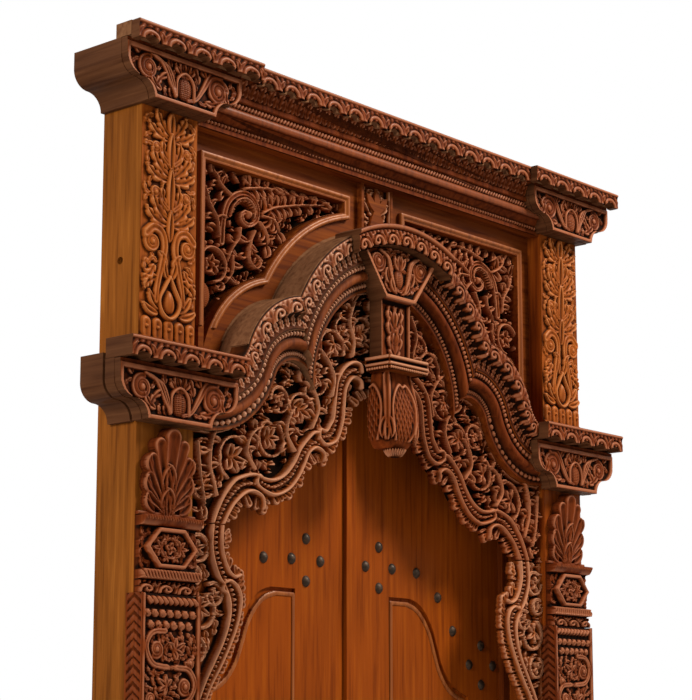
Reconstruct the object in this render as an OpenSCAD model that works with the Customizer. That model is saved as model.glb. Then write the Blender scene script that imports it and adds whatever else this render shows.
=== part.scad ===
// Carved double door with its frame: two posts carry a lobed arch, a pierced transom
// and a moulded cornice, and two leaves hang behind them.
// The front is -Y and +Z is up. The origin is on the floor, midway between the posts.

/* [Overall] */
// Distance between the centre lines of the posts
post_span = 1212; // [1200:1:1240]

/* [Posts] */
// Width of a post
post_w = 138; // [130:1:144]
// Depth of a post
post_d = 100; // [92:1:112]
// Diameter of the wall anchor holes in a post's outer side
anchor_d = 14; // [8:1:20]
// Depth of the wall anchor holes
anchor_depth = 70; // [40:1:100]
// Height of the lower wall anchors
anchor_low_z = 600; // [300:10:1200]
// Height of the upper wall anchors above the springing
anchor_rise = 159; // [80:1:280]

/* [Cornice] */
// Thickness of the crown slab
crown_t = 26; // [22:1:32]
// How far the crown stands out from the posts' front
crown_proj = 50; // [46:1:60]
// Depth of the crown slab, back from a crown cap's front
crown_d = 62; // [58:1:90]
// How far a crown cap stands out beyond the crown
cap_step = 23; // [16:1:30]
// Length of a crown cap
cap_w = 318; // [300:1:340]
// Drop of the scrolls below the crown's underside
scroll_drop = 9; // [6:1:14]
// Height of an end block
block_h = 97; // [90:1:110]
// Width of an end block at its top
block_w = 288; // [270:1:300]
// Width of an end block at its foot
block_foot_w = 156; // [150:1:166]
// How far an end block's face stands out from the posts' front
block_proj = 43; // [38:1:46]
// Thickness of the carved face boards
face_t = 18; // [14:1:22]
// Drop of the cornice's soffit below the end blocks' feet
soffit_drop = 5; // [3:1:9]

/* [Transom] */
// How far the transom frames lie behind the posts' front
transom_set = 34; // [28:1:40]
// Thickness of a transom frame
transom_t = 36; // [30:1:40]
// Width of a transom frame's upper rail
transom_rail = 50; // [42:1:58]
// Width of a transom frame's stile beside the post
transom_stile = 50; // [42:1:58]
// Width of a transom frame's stile beside the mullion
mullion_stile = 46; // [38:1:54]
// Width of a transom frame's lobed lower rail
lobe_rail = 45; // [38:1:52]
// Height of the mullion above the hood's crown
mullion_h = 105; // [95:1:125]
// Width of the mullion
mullion_w = 98; // [88:1:108]
// How far the mullion stands out of the transom frames
mullion_proj = 13; // [9:1:18]

/* [Arch] */
// Height of the capital slabs' top, where the arch springs
spring_h = 2113; // [2095:1:2130]
// Radius of the top lobe at the hood's edge
top_lobe_r = 335; // [330:1:340]
// Depth of the top lobe's centre below the springing
top_lobe_drop = 5; // [0:1:12]
// Radius of a side lobe at the hood's edge
side_lobe_r = 179; // [174:1:184]
// Distance of a side lobe's centre from the middle
side_lobe_x = 270; // [264:1:274]
// Depth of a side lobe's centre below the springing
side_lobe_drop = 28; // [22:1:34]
// Distance from a side lobe's centre to the centre of its foot's sweep
foot_reach = 245; // [238:1:252]
// Angle at which a side lobe turns into its foot
foot_angle = 20; // [16:1:24]
// Depth of the notch where the inner edges of two lobes meet
notch_d = 2; // [1:0.5:6]
// How far the hood stands out from the posts' front
arch_proj = 39; // [36:1:44]

/* [Capitals] */
// Thickness of a capital's slab
slab_t = 37; // [32:1:42]
// How far a capital's slab stands out from the post
slab_proj = 70; // [62:1:78]
// Height of a capital
capital_h = 99; // [90:1:108]
// Width of a capital at its top
capital_w = 288; // [270:1:300]
// Width of a capital at its foot
capital_foot_w = 158; // [150:1:166]
// How far a capital's face stands out from the post
capital_proj = 41; // [38:1:46]
// Depth of a rear capital
rear_capital_d = 58; // [50:1:70]
// Distance of a rear capital behind the post's front
rear_capital_set = 6; // [3:1:12]

/* [Pilasters] */
// Thickness of the carved board above a capital
pilaster_t = 9; // [7:1:14]
// Height of the leaf console under a capital
console_h = 163; // [150:1:176]
// How far a leaf console stands out from the post
console_proj = 34; // [28:1:38]
// Height of the boss block under a console
boss_h = 134; // [124:1:144]
// How far a boss block's ledge stands out from the post
boss_proj = 30; // [24:1:36]
// How far the lower shaft stands out from the post
shaft_proj = 24; // [18:1:30]
// Height of the shaft's plain base
base_h = 170; // [140:1:200]

/* [Keystone] */
// Width of the keystone at its head
key_head_w = 250; // [236:1:260]
// Width of the keystone at its foot, and of its neck
key_foot_w = 92; // [84:1:100]
// Height of the keystone's foot above the springing
key_foot_rise = 188; // [180:1:192]
// How far the keystone stands out from the posts' front
key_proj = 41; // [40:1:48]
// Width of the arched cap over the keystone
key_cap_w = 300; // [290:1:316]
// Thickness of the arched cap
key_cap_t = 43; // [36:1:50]
// How far the arched cap rises beyond the hood's edge
key_cap_rise = 8; // [4:1:12]
// How far the arched cap stands out from the posts' front
key_cap_proj = 64; // [56:1:72]
// Height of the pendant ledge's top above the springing
ledge_rise = 69; // [60:1:78]
// Height of the pendant ledge
ledge_h = 29; // [24:1:34]
// Width of the pendant ledge
ledge_w = 118; // [112:1:126]
// Width of the pendant
pendant_w = 104; // [96:1:110]
// Height of the pendant without its tip
pendant_h = 151; // [140:1:162]
// Height of the pendant's tip
tip_h = 16; // [10:1:22]

/* [Fretwork] */
// How far the spandrels lie behind the posts' front
fret_set = 5; // [3:1:10]
// Thickness of the pierced panels
fret_t = 22; // [18:1:26]
// Height of the raised stems on the pierced panels
stem_t = 6; // [4:1:8]
// Thickness of the dark boards behind the pierced panels
backing_t = 8; // [6:1:12]
// Depth of the seam between spandrel and side fret below the springing
seam_drop = 298; // [288:1:308]
// Height of a side fret
side_fret_h = 415; // [380:1:460]

/* [Leaves] */
// Thickness of a leaf
leaf_t = 36; // [30:1:42]
// Distance of the leaves behind the posts' rear
leaf_set = 14; // [10:1:20]
// Height of the leaves' top above the springing
leaf_rise = 37; // [30:1:60]
// Gap under the leaves
floor_gap = 10; // [6:1:16]
// Gap between the two leaves, and between a leaf and its jamb
leaf_gap = 4; // [3:0.5:6]
// Width of the strip at the meeting edges
strip_w = 28; // [20:1:34]
// Thickness of the strip at the meeting edges
strip_t = 8; // [5:1:10]
// Width of the groove around a leaf's raised field
groove_w = 12; // [8:1:16]
// Depth of the groove around a leaf's raised field
groove_d = 7; // [4:1:10]
// Diameter of a stud's head
stud_d = 23; // [18:1:28]
// Height of a stud's head
stud_h = 7; // [5:1:9]
// Length of the arms of a cross of studs
cross_arm = 42; // [36:1:48]

/* [Casing] */
// Width of a jamb
jamb_w = 46; // [40:1:54]
// How far a jamb's inner face stands inside the post's
jamb_inset = 5; // [3:1:8]
// Width of the lip that a leaf closes against
lip_w = 17; // [12:1:22]
// Height of the head lining
lining_h = 60; // [50:1:70]
// Height of the threshold
threshold_h = 30; // [20:1:40]

/* [Hinges] */
// Length of a hinge
hinge_l = 120; // [100:1:140]
// Diameter of a hinge's knuckles
knuckle_d = 13; // [12:1:15]
// Diameter of a hinge pin
pin_d = 7; // [6:0.5:8]
// Width of a hinge plate
plate_w = 38; // [34:1:40]
// Thickness of a hinge plate
plate_t = 3; // [2:0.5:4]

/* [Hidden] */
$fn = 96;

// Running clearance of a hinge pin, measured on the radius
pin_clear = 0.05;
// Clearance between a closed leaf and the lip behind which it rests
stop_clear = 0.3;
// Overrun of every cut
over = 5;

plain = "peru";
carved = "sienna";
dark = [0.16, 0.07, 0.03];
iron = "dimgray";

// Planes and heights that the pieces share
post_x = post_span / 2;
post_front = -post_d / 2;
post_rear = post_d / 2;
bay = post_x - post_w / 2;
end_x = post_x + block_w / 2;
transom_y = post_front + transom_set;
transom_back = transom_y + transom_t;
slab_z = spring_h - slab_t;
capital_z = slab_z - capital_h;
console_z = capital_z - console_h;
boss_z = console_z - boss_h;
seam_z = spring_h - seam_drop;
fret_y = post_front + fret_set;

// Centres of the arch's lobes and of its feet, in the plane of the front
top_c = [0, spring_h - top_lobe_drop];
side_c = [side_lobe_x, spring_h - side_lobe_drop];
foot_dir = [cos(foot_angle), sin(foot_angle)];
foot_c = side_c + foot_reach * foot_dir;
foot_r = foot_reach - side_lobe_r;
lobe_dist = norm(side_c - top_c);
lobe_dir = (side_c - top_c) / lobe_dist;
// The cusp is where the hood's edges cross, and the waist where the two lobes part
cusp_along = (lobe_dist * lobe_dist + top_lobe_r * top_lobe_r - side_lobe_r * side_lobe_r) / (2 * lobe_dist);
cusp_off = sqrt(top_lobe_r * top_lobe_r - cusp_along * cusp_along);
cusp = top_c + cusp_along * lobe_dir + cusp_off * [-lobe_dir[1], lobe_dir[0]];
waist_d = (top_lobe_r + side_lobe_r - lobe_dist) / 2;
waist = top_c + (top_lobe_r - waist_d) * lobe_dir;
// The moulding runs in from the hood's edge to just short of the waist
arch_w = waist_d - notch_d;
mitre_dir = (cusp - waist) / norm(cusp - waist);
// Heights of the cornice, above the hood's crown
soffit_z = top_c[1] + top_lobe_r + mullion_h;
block_z = soffit_z + soffit_drop;
crown_z = block_z + block_h;
span = 2 * end_x;

// Keystone and pendant
cap_out_r = top_lobe_r + key_cap_rise;
cap_in_r = cap_out_r - key_cap_t;
key_foot_z = spring_h + key_foot_rise;
ledge_z = spring_h + ledge_rise - ledge_h;
pendant_z = ledge_z - pendant_h;

// Leaves, jambs and hinges
jamb_x = bay - jamb_inset;
leaf_x = jamb_x - leaf_gap;
leaf_y = post_rear + leaf_set;
leaf_back = leaf_y + leaf_t;
leaf_top = spring_h + leaf_rise;
lining_z = leaf_top + leaf_gap;
hinge_x = jamb_x - leaf_gap / 2;
hinge_y = leaf_back + knuckle_d / 2;
hinge_z_shares = [0.12, 0.5, 0.88];

// Profile of the arch moulding: share of its width from the hood's edge, share of its relief
arch_relief = 46;
arch_profile_shares = [
    [0.02, 0.9], [0.26, 0.84], [0.32, 0.55], [0.46, 0.55], [0.49, 0.66], [0.54, 0.66],
    [0.55, 0.48], [0.63, 0.48], [0.66, 0.38], [0.8, 0.38], [0.82, 0.3], [0.85, 0.14],
    [0.93, 0.14], [0.94, 0.2], [1, 0.2]
];
hood_band_share = 0.25;
// The torus's place: share of the width from the hood's edge, share of the relief
arch_torus_shares = [0.73, 0.38];
torus_r = 9;
scallop_pitch = 30;
scallop_r = 10;
arch_d = transom_back - post_front + arch_proj;

// Profile of the cornice moulding: share of its reach, share of its height from the soffit
cornice_set = 16;
cornice_reach = crown_proj + transom_set - cornice_set;
cornice_profile_shares = [
    [0, 0], [0.46, 0], [0.46, 0.07], [0.42, 0.09], [0.42, 0.18], [0.5, 0.22], [0.62, 0.3],
    [0.72, 0.3], [0.72, 0.44], [0.66, 0.46], [0.66, 0.6], [0.78, 0.6], [0.78, 0.68],
    [0.74, 0.7], [0.76, 0.84], [0.88, 0.96], [1, 1], [0, 1]
];

// Inner edge of a spandrel: shares of the half bay, shares of the seam's depth below the springing
spandrel_edge_shares = [
    [0, 0.07], [0.11, 0.08], [0.155, 0.17], [0.185, 0.3], [0.225, 0.38], [0.272, 0.463], [0.316, 0.544],
    [0.375, 0.56], [0.415, 0.64], [0.435, 0.7], [0.475, 0.76], [0.51, 0.81], [0.585, 0.85], [0.625, 0.905],
    [0.667, 0.9], [0.7, 0.875], [0.735, 0.905], [0.765, 0.955], [0.79, 1]
];
// Inner edge of a side fret: shares of the half bay, shares of the fret's height below the seam
side_edge_shares = [
    [0.79, 0], [0.785, 0.06], [0.795, 0.11], [0.765, 0.155], [0.725, 0.19], [0.718, 0.24], [0.712, 0.3],
    [0.72, 0.38], [0.738, 0.465], [0.762, 0.53], [0.797, 0.607], [0.834, 0.675], [0.87, 0.745], [0.91, 0.84],
    [0.95, 0.92], [0.985, 1]
];
// Gaps of a spandrel: shares of the half bay and of the seam's depth, angle, length and width shares
spandrel_gap_shares = [
    [0.09, 0.05, 70, 0.17, 0.07], [0.15, 0.16, 20, 0.15, 0.06], [0.22, 0.02, 110, 0.15, 0.06],
    [0.27, 0.18, 150, 0.18, 0.08], [0.36, 0.28, 40, 0.15, 0.07], [0.37, 0.13, 100, 0.14, 0.06],
    [0.46, 0.37, 120, 0.18, 0.08], [0.45, 0.22, 60, 0.12, 0.06], [0.54, 0.31, 20, 0.14, 0.07],
    [0.55, 0.52, 140, 0.2, 0.08], [0.62, 0.4, 70, 0.16, 0.08], [0.64, 0.6, 30, 0.16, 0.08],
    [0.7, 0.5, 160, 0.16, 0.07], [0.73, 0.62, 100, 0.13, 0.06], [0.79, 0.53, 40, 0.15, 0.07],
    [0.81, 0.68, 140, 0.14, 0.06], [0.88, 0.58, 90, 0.15, 0.07], [0.9, 0.74, 60, 0.16, 0.07],
    [0.93, 0.9, 110, 0.15, 0.06]
];
// Gaps of a side fret: shares of the half bay and of the fret's height, angle, length and width shares
side_gap_shares = [
    [0.94, 0.07, 80, 0.13, 0.06], [0.94, 0.2, 110, 0.13, 0.06], [0.88, 0.3, 40, 0.13, 0.07],
    [0.8, 0.35, 100, 0.1, 0.05], [0.93, 0.36, 80, 0.12, 0.06], [0.84, 0.45, 60, 0.13, 0.06],
    [0.93, 0.5, 110, 0.14, 0.06], [0.9, 0.62, 70, 0.12, 0.05], [0.96, 0.7, 90, 0.12, 0.04]
];
// Gaps of a transom panel: shares of its width and of its height, angle, length and width shares
transom_gap_shares = [
    [0.06, 0.9, 40, 0.14, 0.07], [0.06, 0.7, 100, 0.16, 0.06], [0.06, 0.5, 80, 0.16, 0.06],
    [0.06, 0.28, 90, 0.18, 0.06], [0.17, 0.93, 120, 0.12, 0.06], [0.17, 0.3, 60, 0.15, 0.07],
    [0.2, 0.78, 60, 0.14, 0.07], [0.27, 0.93, 60, 0.12, 0.05], [0.18, 0.57, 110, 0.16, 0.07],
    [0.29, 0.5, 30, 0.12, 0.06], [0.37, 0.93, 110, 0.13, 0.06], [0.33, 0.72, 0, 0.12, 0.06],
    [0.45, 0.62, 140, 0.16, 0.07], [0.47, 0.93, 70, 0.12, 0.05], [0.52, 0.78, 20, 0.15, 0.07],
    [0.58, 0.92, 120, 0.12, 0.05], [0.64, 0.83, 10, 0.14, 0.05], [0.72, 0.93, 160, 0.14, 0.05],
    [0.84, 0.94, 170, 0.13, 0.035]
];
// Volutes of the transom panel: shares of its width and height, radius as a share of its width
transom_volute_shares = [[0.27, 0.62, 0.15], [0.14, 0.4, 0.08], [0.5, 0.88, 0.06]];
// Volutes of a spandrel: shares of the half bay and of the seam's depth, radius as a share of the half bay
spandrel_volute_shares = [[0.62, 0.5, 0.075], [0.85, 0.62, 0.07], [0.4, 0.26, 0.06], [0.22, 0.12, 0.055]];

// Stems, leaves and beads of the carved faces
stem_w = 7;
band_w = 14;

// A lens with pointed ends, l long and w wide, along the first axis
module lens(l, w) {
    r = (l * l / 4 + w * w / 4) / w;
    intersection() {
        translate([0, r - w / 2]) circle(r);
        translate([0, w / 2 - r]) circle(r);
    }
}

// A volute seen from the front: an open ring round an eye
module volute(r, w) {
    difference() {
        circle(r);
        circle(r - w);
        rotate(-30) translate([r / 2, 0]) square([r, w]);
    }
    circle(r / 3);
}

// An extrusion that runs back from the plane y, with its outline seen from the front
module front_slab(y, depth) {
    translate([0, y + depth, 0]) rotate([90, 0, 0]) linear_extrude(depth) children();
}

// The left side is the right side mirrored
module on_side(left) {
    if (left) mirror([1, 0, 0]) children();
    else children();
}

// A corbel with ogee sides, standing on z = 0 and centred
module corbel(w, foot_w, h) {
    r = (w - foot_w) / 4;
    translate([-w / 2, 2 * r]) square([w, h - 2 * r]);
    translate([r - w / 2, r]) square([w - 2 * r, h - r]);
    difference() {
        translate([r - w / 2, 0]) square([w - 2 * r, r]);
        for (s = [-1, 1]) translate([s * (w / 2 - r), 0]) circle(r);
    }
    intersection() {
        for (s = [-1, 1]) translate([s * (w / 2 - r), 2 * r]) circle(r);
        translate([-w / 2, 0]) square([w, h]);
    }
}

module block_outline() translate([post_x, block_z]) corbel(block_w, block_foot_w, block_h);
module capital_outline() translate([post_x, capital_z]) corbel(capital_w, capital_foot_w, capital_h);

// The carving of a corbel's face: a fillet border, two volutes, a seed and leaves
module corbel_carving(w, foot_w, h, border) {
    difference() {
        corbel(w, foot_w, h);
        translate([0, border]) corbel(w - 2 * border, foot_w - border, h - 2 * border);
    }
    for (s = [-1, 1]) mirror([s < 0 ? 1 : 0, 0]) {
        translate([w / 2 - 1.6 * border - h / 4, 0.62 * h]) volute(h / 4, h / 12);
        translate([w / 6, h / 2]) rotate(70) lens(0.7 * h, 0.2 * h);
        translate([w / 10, 0.7 * h]) rotate(100) lens(0.4 * h, 0.16 * h);
        translate([w / 5, 0.22 * h]) rotate(20) lens(0.4 * h, 0.14 * h);
    }
    translate([0, 0.36 * h]) rotate(90) lens(0.46 * h, 0.26 * h);
}

// A straight edge of running scrolls, with a scalloped lower side
module scroll_band(l, h, drop) {
    count = floor(l / scallop_pitch);
    difference() {
        translate([-l / 2, -drop]) square([l, h + drop]);
        for (i = [0:count]) translate([(i - count / 2) * l / count, -drop]) circle(scallop_r);
    }
}

// Regions of the front in which each lobe of the arch lies
module top_region() {
    far = cusp + top_lobe_r * mitre_dir;
    polygon([[0, waist[1]], waist, far, [0, far[1]]]);
}

module side_region() {
    far = cusp + top_lobe_r * mitre_dir;
    polygon([side_c, side_c + span * foot_dir, [span, far[1]], far, waist]);
}

module foot_region() {
    polygon([foot_c, side_c, [side_c[0], seam_z], [bay, seam_z], [bay, foot_c[1]]]);
}

// A disc about the centre of one of the arch's lobes
module lobe_disc(c, r) translate(c) circle(r);

// The area inside the hood's edge, moved in by d
module hood_area(d) {
    lobe_disc(top_c, top_lobe_r - d);
    lobe_disc(side_c, side_lobe_r - d);
}

// The area that a foot of the arch covers
module foot_area() {
    intersection() {
        foot_region();
        difference() {
            lobe_disc(foot_c, foot_r + arch_w);
            lobe_disc(foot_c, foot_r);
        }
    }
}

// The moulding's section beside its axis: first axis away from the hood's edge, second axis forward
module arch_section() {
    polygon(concat(
        [[arch_profile_shares[0][0] * arch_w, -arch_d]],
        [for (p = arch_profile_shares) [p[0] * arch_w, (p[1] - 1) * arch_relief]],
        [[arch_w, -arch_d]]
    ));
    translate([arch_torus_shares[0] * arch_w, (arch_torus_shares[1] - 1) * arch_relief]) circle(torus_r);
}

// A ring of the moulding about a lobe's centre; outward lobes have their hood's edge outside
module arch_ring(c, r, outward) {
    front = post_front - arch_proj;
    translate([c[0], front, c[1]]) rotate([90, 0, 0]) rotate_extrude()
        if (outward) translate([r, 0]) mirror([1, 0]) arch_section();
        else translate([r, 0]) arch_section();
}

// The scroll edge that follows a lobe of the hood
module hood_scrolls(c, r) {
    band = hood_band_share * arch_w;
    inner = r - band;
    count = floor(2 * PI * inner / scallop_pitch);
    translate(c) difference() {
        circle(r);
        circle(inner);
        for (i = [1:count]) rotate(i * 360 / count) translate([inner, 0]) circle(scallop_r);
    }
}

module keystone_outline() {
    top_z = top_c[1] + cap_in_r;
    translate([-key_foot_w / 2, ledge_z + ledge_h]) square([key_foot_w, key_foot_z - ledge_z - ledge_h]);
    intersection() {
        polygon([
            [-key_foot_w / 2, key_foot_z], [key_foot_w / 2, key_foot_z],
            [key_head_w / 2, top_z], [-key_head_w / 2, top_z]
        ]);
        translate(top_c) circle(cap_in_r);
    }
}

module keystone_cap_outline() {
    intersection() {
        translate(top_c) difference() {
            circle(cap_out_r);
            circle(cap_in_r);
        }
        translate([-key_cap_w / 2, top_c[1]]) square([key_cap_w, cap_out_r]);
    }
}

// Everything that the arch makes room for
module arch_cuts() {
    front_slab(post_front - span, span + fret_set) {
        keystone_outline();
        keystone_cap_outline();
    }
    front_slab(post_front - span, span) {
        capital_outline();
        translate([post_x - capital_w / 2, slab_z]) square([capital_w, slab_t]);
    }
}

module arch_half() {
    front = post_front - arch_proj;
    color(carved) difference() {
        union() {
            intersection() {
                arch_ring(top_c, top_lobe_r, true);
                front_slab(front - over, arch_d + 2 * over) top_region();
            }
            intersection() {
                arch_ring(side_c, side_lobe_r, true);
                front_slab(front - over, arch_d + 2 * over) side_region();
            }
            intersection() {
                arch_ring(foot_c, foot_r, false);
                front_slab(front - over, arch_d + 2 * over) foot_region();
            }
            front_slab(front, arch_relief) {
                intersection() {
                    hood_scrolls(top_c, top_lobe_r);
                    top_region();
                }
                intersection() {
                    hood_scrolls(side_c, side_lobe_r);
                    side_region();
                }
            }
        }
        arch_cuts();
    }
}

module post() {
    color(plain) difference() {
        translate([bay, post_front, 0]) cube([post_w, post_d, block_z]);
        for (z = [anchor_low_z, spring_h + anchor_rise])
            translate([bay + post_w - anchor_depth, 0, z]) rotate([0, 90, 0])
                cylinder(h = anchor_depth + over, d = anchor_d);
    }
}

module head_beam() {
    color(plain) difference() {
        translate([-bay, transom_y, soffit_z]) cube([2 * bay, post_rear - transom_y, crown_z - soffit_z]);
        for (left = [false, true]) on_side(left) front_slab(transom_y - over, span) block_outline();
    }
}

module threshold() {
    color(plain) {
        translate([-bay, post_front, 0]) cube([2 * bay, post_d, threshold_h]);
        translate([lip_w - jamb_x, post_rear - over, 0])
            cube([2 * (jamb_x - lip_w), over + leaf_set - stop_clear, threshold_h]);
    }
}

module cornice_moulding() {
    h = crown_z - soffit_z;
    color(carved) difference() {
        translate([-bay, transom_y, soffit_z]) rotate([90, 0, 90]) linear_extrude(2 * bay)
            polygon([for (p = cornice_profile_shares) [-p[0] * cornice_reach, p[1] * h]]);
        for (left = [false, true]) on_side(left) front_slab(post_front - span, 2 * span) block_outline();
    }
}

module crown() {
    front = post_front - crown_proj;
    color(carved) {
        translate([-end_x, front + scallop_r, crown_z])
            cube([2 * end_x, crown_d - cap_step - scallop_r, crown_t]);
        translate([0, 0, crown_z]) front_slab(front, scallop_r)
            scroll_band(2 * (end_x - cap_w), crown_t, scroll_drop);
        for (s = [-1, 1]) translate([s * (end_x - cap_w / 2) - cap_w / 2, front, crown_z])
            cube([cap_w, scallop_r, crown_t]);
    }
}

module crown_cap() {
    front = post_front - crown_proj - cap_step;
    color(carved) translate([end_x - cap_w / 2, 0, crown_z]) front_slab(front, cap_step)
        scroll_band(cap_w, crown_t, scroll_drop);
}

module cornice_block() {
    front = post_front - block_proj + face_t;
    color(dark) front_slab(front, post_rear - front) block_outline();
}

module block_face() {
    base_t = face_t / 2;
    front = post_front - block_proj;
    color(carved) {
        front_slab(front + base_t, base_t) block_outline();
        front_slab(front, face_t) translate([post_x, block_z])
            corbel_carving(block_w, block_foot_w, block_h, block_h / 12);
    }
}

// Opening of a transom frame: bounded by its rail, its stiles and the lobed lower rail
module transom_opening(inset) {
    left_x = mullion_w / 2 + mullion_stile + inset;
    difference() {
        translate([left_x, spring_h])
            square([bay - transom_stile - inset - left_x, soffit_z - transom_rail - inset - spring_h]);
        hood_area(-lobe_rail - inset);
    }
}

module transom_field() {
    low = foot_c[1] - foot_r;
    difference() {
        translate([mullion_w / 2, low]) square([bay - mullion_w / 2, soffit_z - low]);
        hood_area(0);
        foot_area();
    }
}

module transom_frame() {
    bead = transom_set / 5;
    color(plain) {
        front_slab(transom_y, transom_t) difference() {
            transom_field();
            transom_opening(0);
        }
        front_slab(transom_y - bead, 2 * bead) difference() {
            transom_opening(-2 * bead);
            transom_opening(0);
        }
    }
}

// Width and height in which the transom panel's carving is laid out
transom_w = bay - transom_stile - mullion_w / 2 - mullion_stile;
transom_low = side_c[1] + side_lobe_r / 2;
transom_fret_h = soffit_z - transom_rail - transom_low;

module transom_spot(p) {
    translate([bay - transom_stile - p[0] * transom_w, transom_low + p[1] * transom_fret_h]) children();
}

module transom_fret() {
    color(carved) {
        front_slab(transom_y + stem_t, fret_t) difference() {
            transom_opening(0);
            difference() {
                for (g = transom_gap_shares)
                    transom_spot(g) rotate(g[2]) lens(g[3] * transom_w, g[4] * transom_w);
                for (v = transom_volute_shares) transom_spot(v) circle(v[2] * transom_w);
            }
        }
        front_slab(transom_y, stem_t + fret_t) intersection() {
            transom_opening(0);
            for (v = transom_volute_shares) transom_spot(v) volute(v[2] * transom_w, stem_w);
        }
    }
}

module transom_backing() {
    color(dark) front_slab(transom_back, backing_t) transom_opening(-lobe_rail / 2);
}

module transom_mullion() {
    low = top_c[1] + top_lobe_r;
    color(carved) {
        front_slab(transom_y, transom_t) difference() {
            translate([-mullion_w / 2, top_c[1]]) square([mullion_w, soffit_z - top_c[1]]);
            lobe_disc(top_c, top_lobe_r);
        }
        front_slab(transom_y - mullion_proj, mullion_proj) difference() {
            union() {
                for (s = [-1, 1]) translate([s * (mullion_w - stem_w) / 2 - stem_w / 2, low])
                    square([stem_w, soffit_z - low]);
                translate([0, low]) rotate(90) lens(1.3 * mullion_w, mullion_w / 2);
                for (a = [50, 90, 130]) translate([0, low + mullion_w / 2]) rotate(a)
                    translate([mullion_w / 4, 0]) lens(mullion_w / 2, mullion_w / 6);
            }
            lobe_disc(top_c, cap_out_r);
        }
    }
}

module keystone() {
    base_t = face_t;
    front = post_front - key_proj;
    color(carved) {
        front_slab(front + base_t / 2, key_proj + fret_set - base_t / 2) keystone_outline();
        front_slab(front, base_t) intersection() {
            keystone_outline();
            union() {
                for (s = [-1, 1]) translate([s * key_head_w / 4, key_foot_z + key_foot_w / 2])
                    volute(key_foot_w / 3, stem_w);
                for (a = [60, 90, 120]) translate([0, key_foot_z + key_foot_w / 8]) rotate(a)
                    translate([key_foot_w / 3, 0]) lens(key_foot_w, key_foot_w / 4);
                for (s = [-1, 1]) translate([s * (key_foot_w - stem_w) / 2, ledge_z])
                    translate([-stem_w / 2, 0]) square([stem_w, key_foot_z - ledge_z]);
                translate([0, key_foot_z - key_foot_w / 2]) rotate(90) lens(key_foot_w, key_foot_w / 2);
            }
        }
    }
}

module keystone_cap() {
    front = post_front - key_cap_proj;
    color(carved) {
        front_slab(front, key_cap_proj + fret_set) intersection() {
            hood_scrolls(top_c, cap_out_r);
            keystone_cap_outline();
        }
        front_slab(front + scallop_r, key_cap_proj + fret_set - scallop_r) keystone_cap_outline();
    }
}

module pendant_ledge() {
    depth = ledge_w / 2 - post_front + fret_y;
    color(carved) front_slab(fret_y - depth, depth) difference() {
        translate([-ledge_w / 2, ledge_z]) square([ledge_w, ledge_h]);
        for (s = [-1, 1]) translate([s * ledge_w / 2, ledge_z]) circle(ledge_h / 2);
    }
}

// The pendant: a square block hollowed into arched panels, with a bud for its tip
module pendant() {
    depth = pendant_w / 2;
    waist_h = pendant_h / 6;
    color(carved) {
        difference() {
            front_slab(fret_y - depth, depth) difference() {
                translate([-pendant_w / 2, pendant_z]) square([pendant_w, pendant_h]);
                for (s = [-1, 1]) {
                    translate([s * pendant_w / 2, ledge_z - waist_h / 2]) circle(waist_h / 2);
                    translate([s * pendant_w / 2, pendant_z]) circle(waist_h);
                }
            }
            front_slab(fret_y - depth - over, over + groove_d)
                translate([0, pendant_z + pendant_h / 2]) rotate(90) difference() {
                    lens(0.6 * pendant_h, pendant_w / 2);
                    lens(0.4 * pendant_h, pendant_w / 3);
                }
        }
        translate([0, fret_y - depth / 2, pendant_z - tip_h])
            cylinder(h = tip_h, r1 = depth / 5, r2 = depth / 2.4);
    }
}

// A curve through hand-chosen points, n stretches between each pair
function blend(a, b, c, d, t) = 0.5 * (2 * b + (c - a) * t + (2 * a - 5 * b + 4 * c - d) * t * t
    + (3 * b - a - 3 * c + d) * t * t * t);
function smooth_line(p, n) = concat(
    [for (i = [0:len(p) - 2], k = [0:n - 1])
        blend(p[max(i - 1, 0)], p[i], p[i + 1], p[min(i + 2, len(p) - 1)], k / n)],
    [p[len(p) - 1]]
);
edge_steps = 4;

function spandrel_spot(p) = [p[0] * bay, spring_h - p[1] * seam_drop];
function side_spot(p) = [p[0] * bay, seam_z - p[1] * side_fret_h];

// The space inside the arch moulding, down to the seam
module under_arch() {
    intersection() {
        lobe_disc(top_c, top_lobe_r - arch_w);
        top_region();
    }
    intersection() {
        lobe_disc(side_c, side_lobe_r - arch_w);
        side_region();
    }
    difference() {
        polygon([
            [0, waist[1]], waist, side_c, foot_c, [bay, foot_c[1]], [bay, seam_z], [0, seam_z]
        ]);
        lobe_disc(foot_c, foot_r + arch_w);
    }
}

// A spandrel fills that space above its own curved inner edge, which lift moves up
module spandrel_outline(lift) {
    top_z = top_c[1] + top_lobe_r;
    edge = smooth_line([for (p = spandrel_edge_shares) spandrel_spot(p) + [0, lift]], edge_steps);
    intersection() {
        polygon(concat(edge, [[bay, seam_z], [bay, top_z], [0, top_z]]));
        under_arch();
    }
}

module spandrel() {
    color(carved) {
        front_slab(fret_y, fret_t) difference() {
            spandrel_outline(0);
            difference() {
                for (g = spandrel_gap_shares)
                    translate(spandrel_spot(g)) rotate(g[2]) lens(g[3] * bay, g[4] * bay);
                for (v = spandrel_volute_shares) translate(spandrel_spot(v)) circle(v[2] * bay);
            }
        }
        front_slab(fret_y - stem_t, stem_t) {
            intersection() {
                spandrel_outline(0);
                for (v = spandrel_volute_shares) translate(spandrel_spot(v)) volute(v[2] * bay, stem_w);
            }
            difference() {
                spandrel_outline(0);
                spandrel_outline(band_w);
                translate([0, pendant_z]) square([ledge_w / 2, spring_h - pendant_z]);
            }
        }
    }
}

module spandrel_backing() {
    color(dark) front_slab(fret_y + fret_t, backing_t) spandrel_outline(2 * band_w);
}

module side_fret_outline() {
    edge = smooth_line([for (p = side_edge_shares) side_spot(p)], edge_steps);
    polygon(concat(edge, [[bay, seam_z - side_fret_h], [bay, seam_z]]));
}

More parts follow.
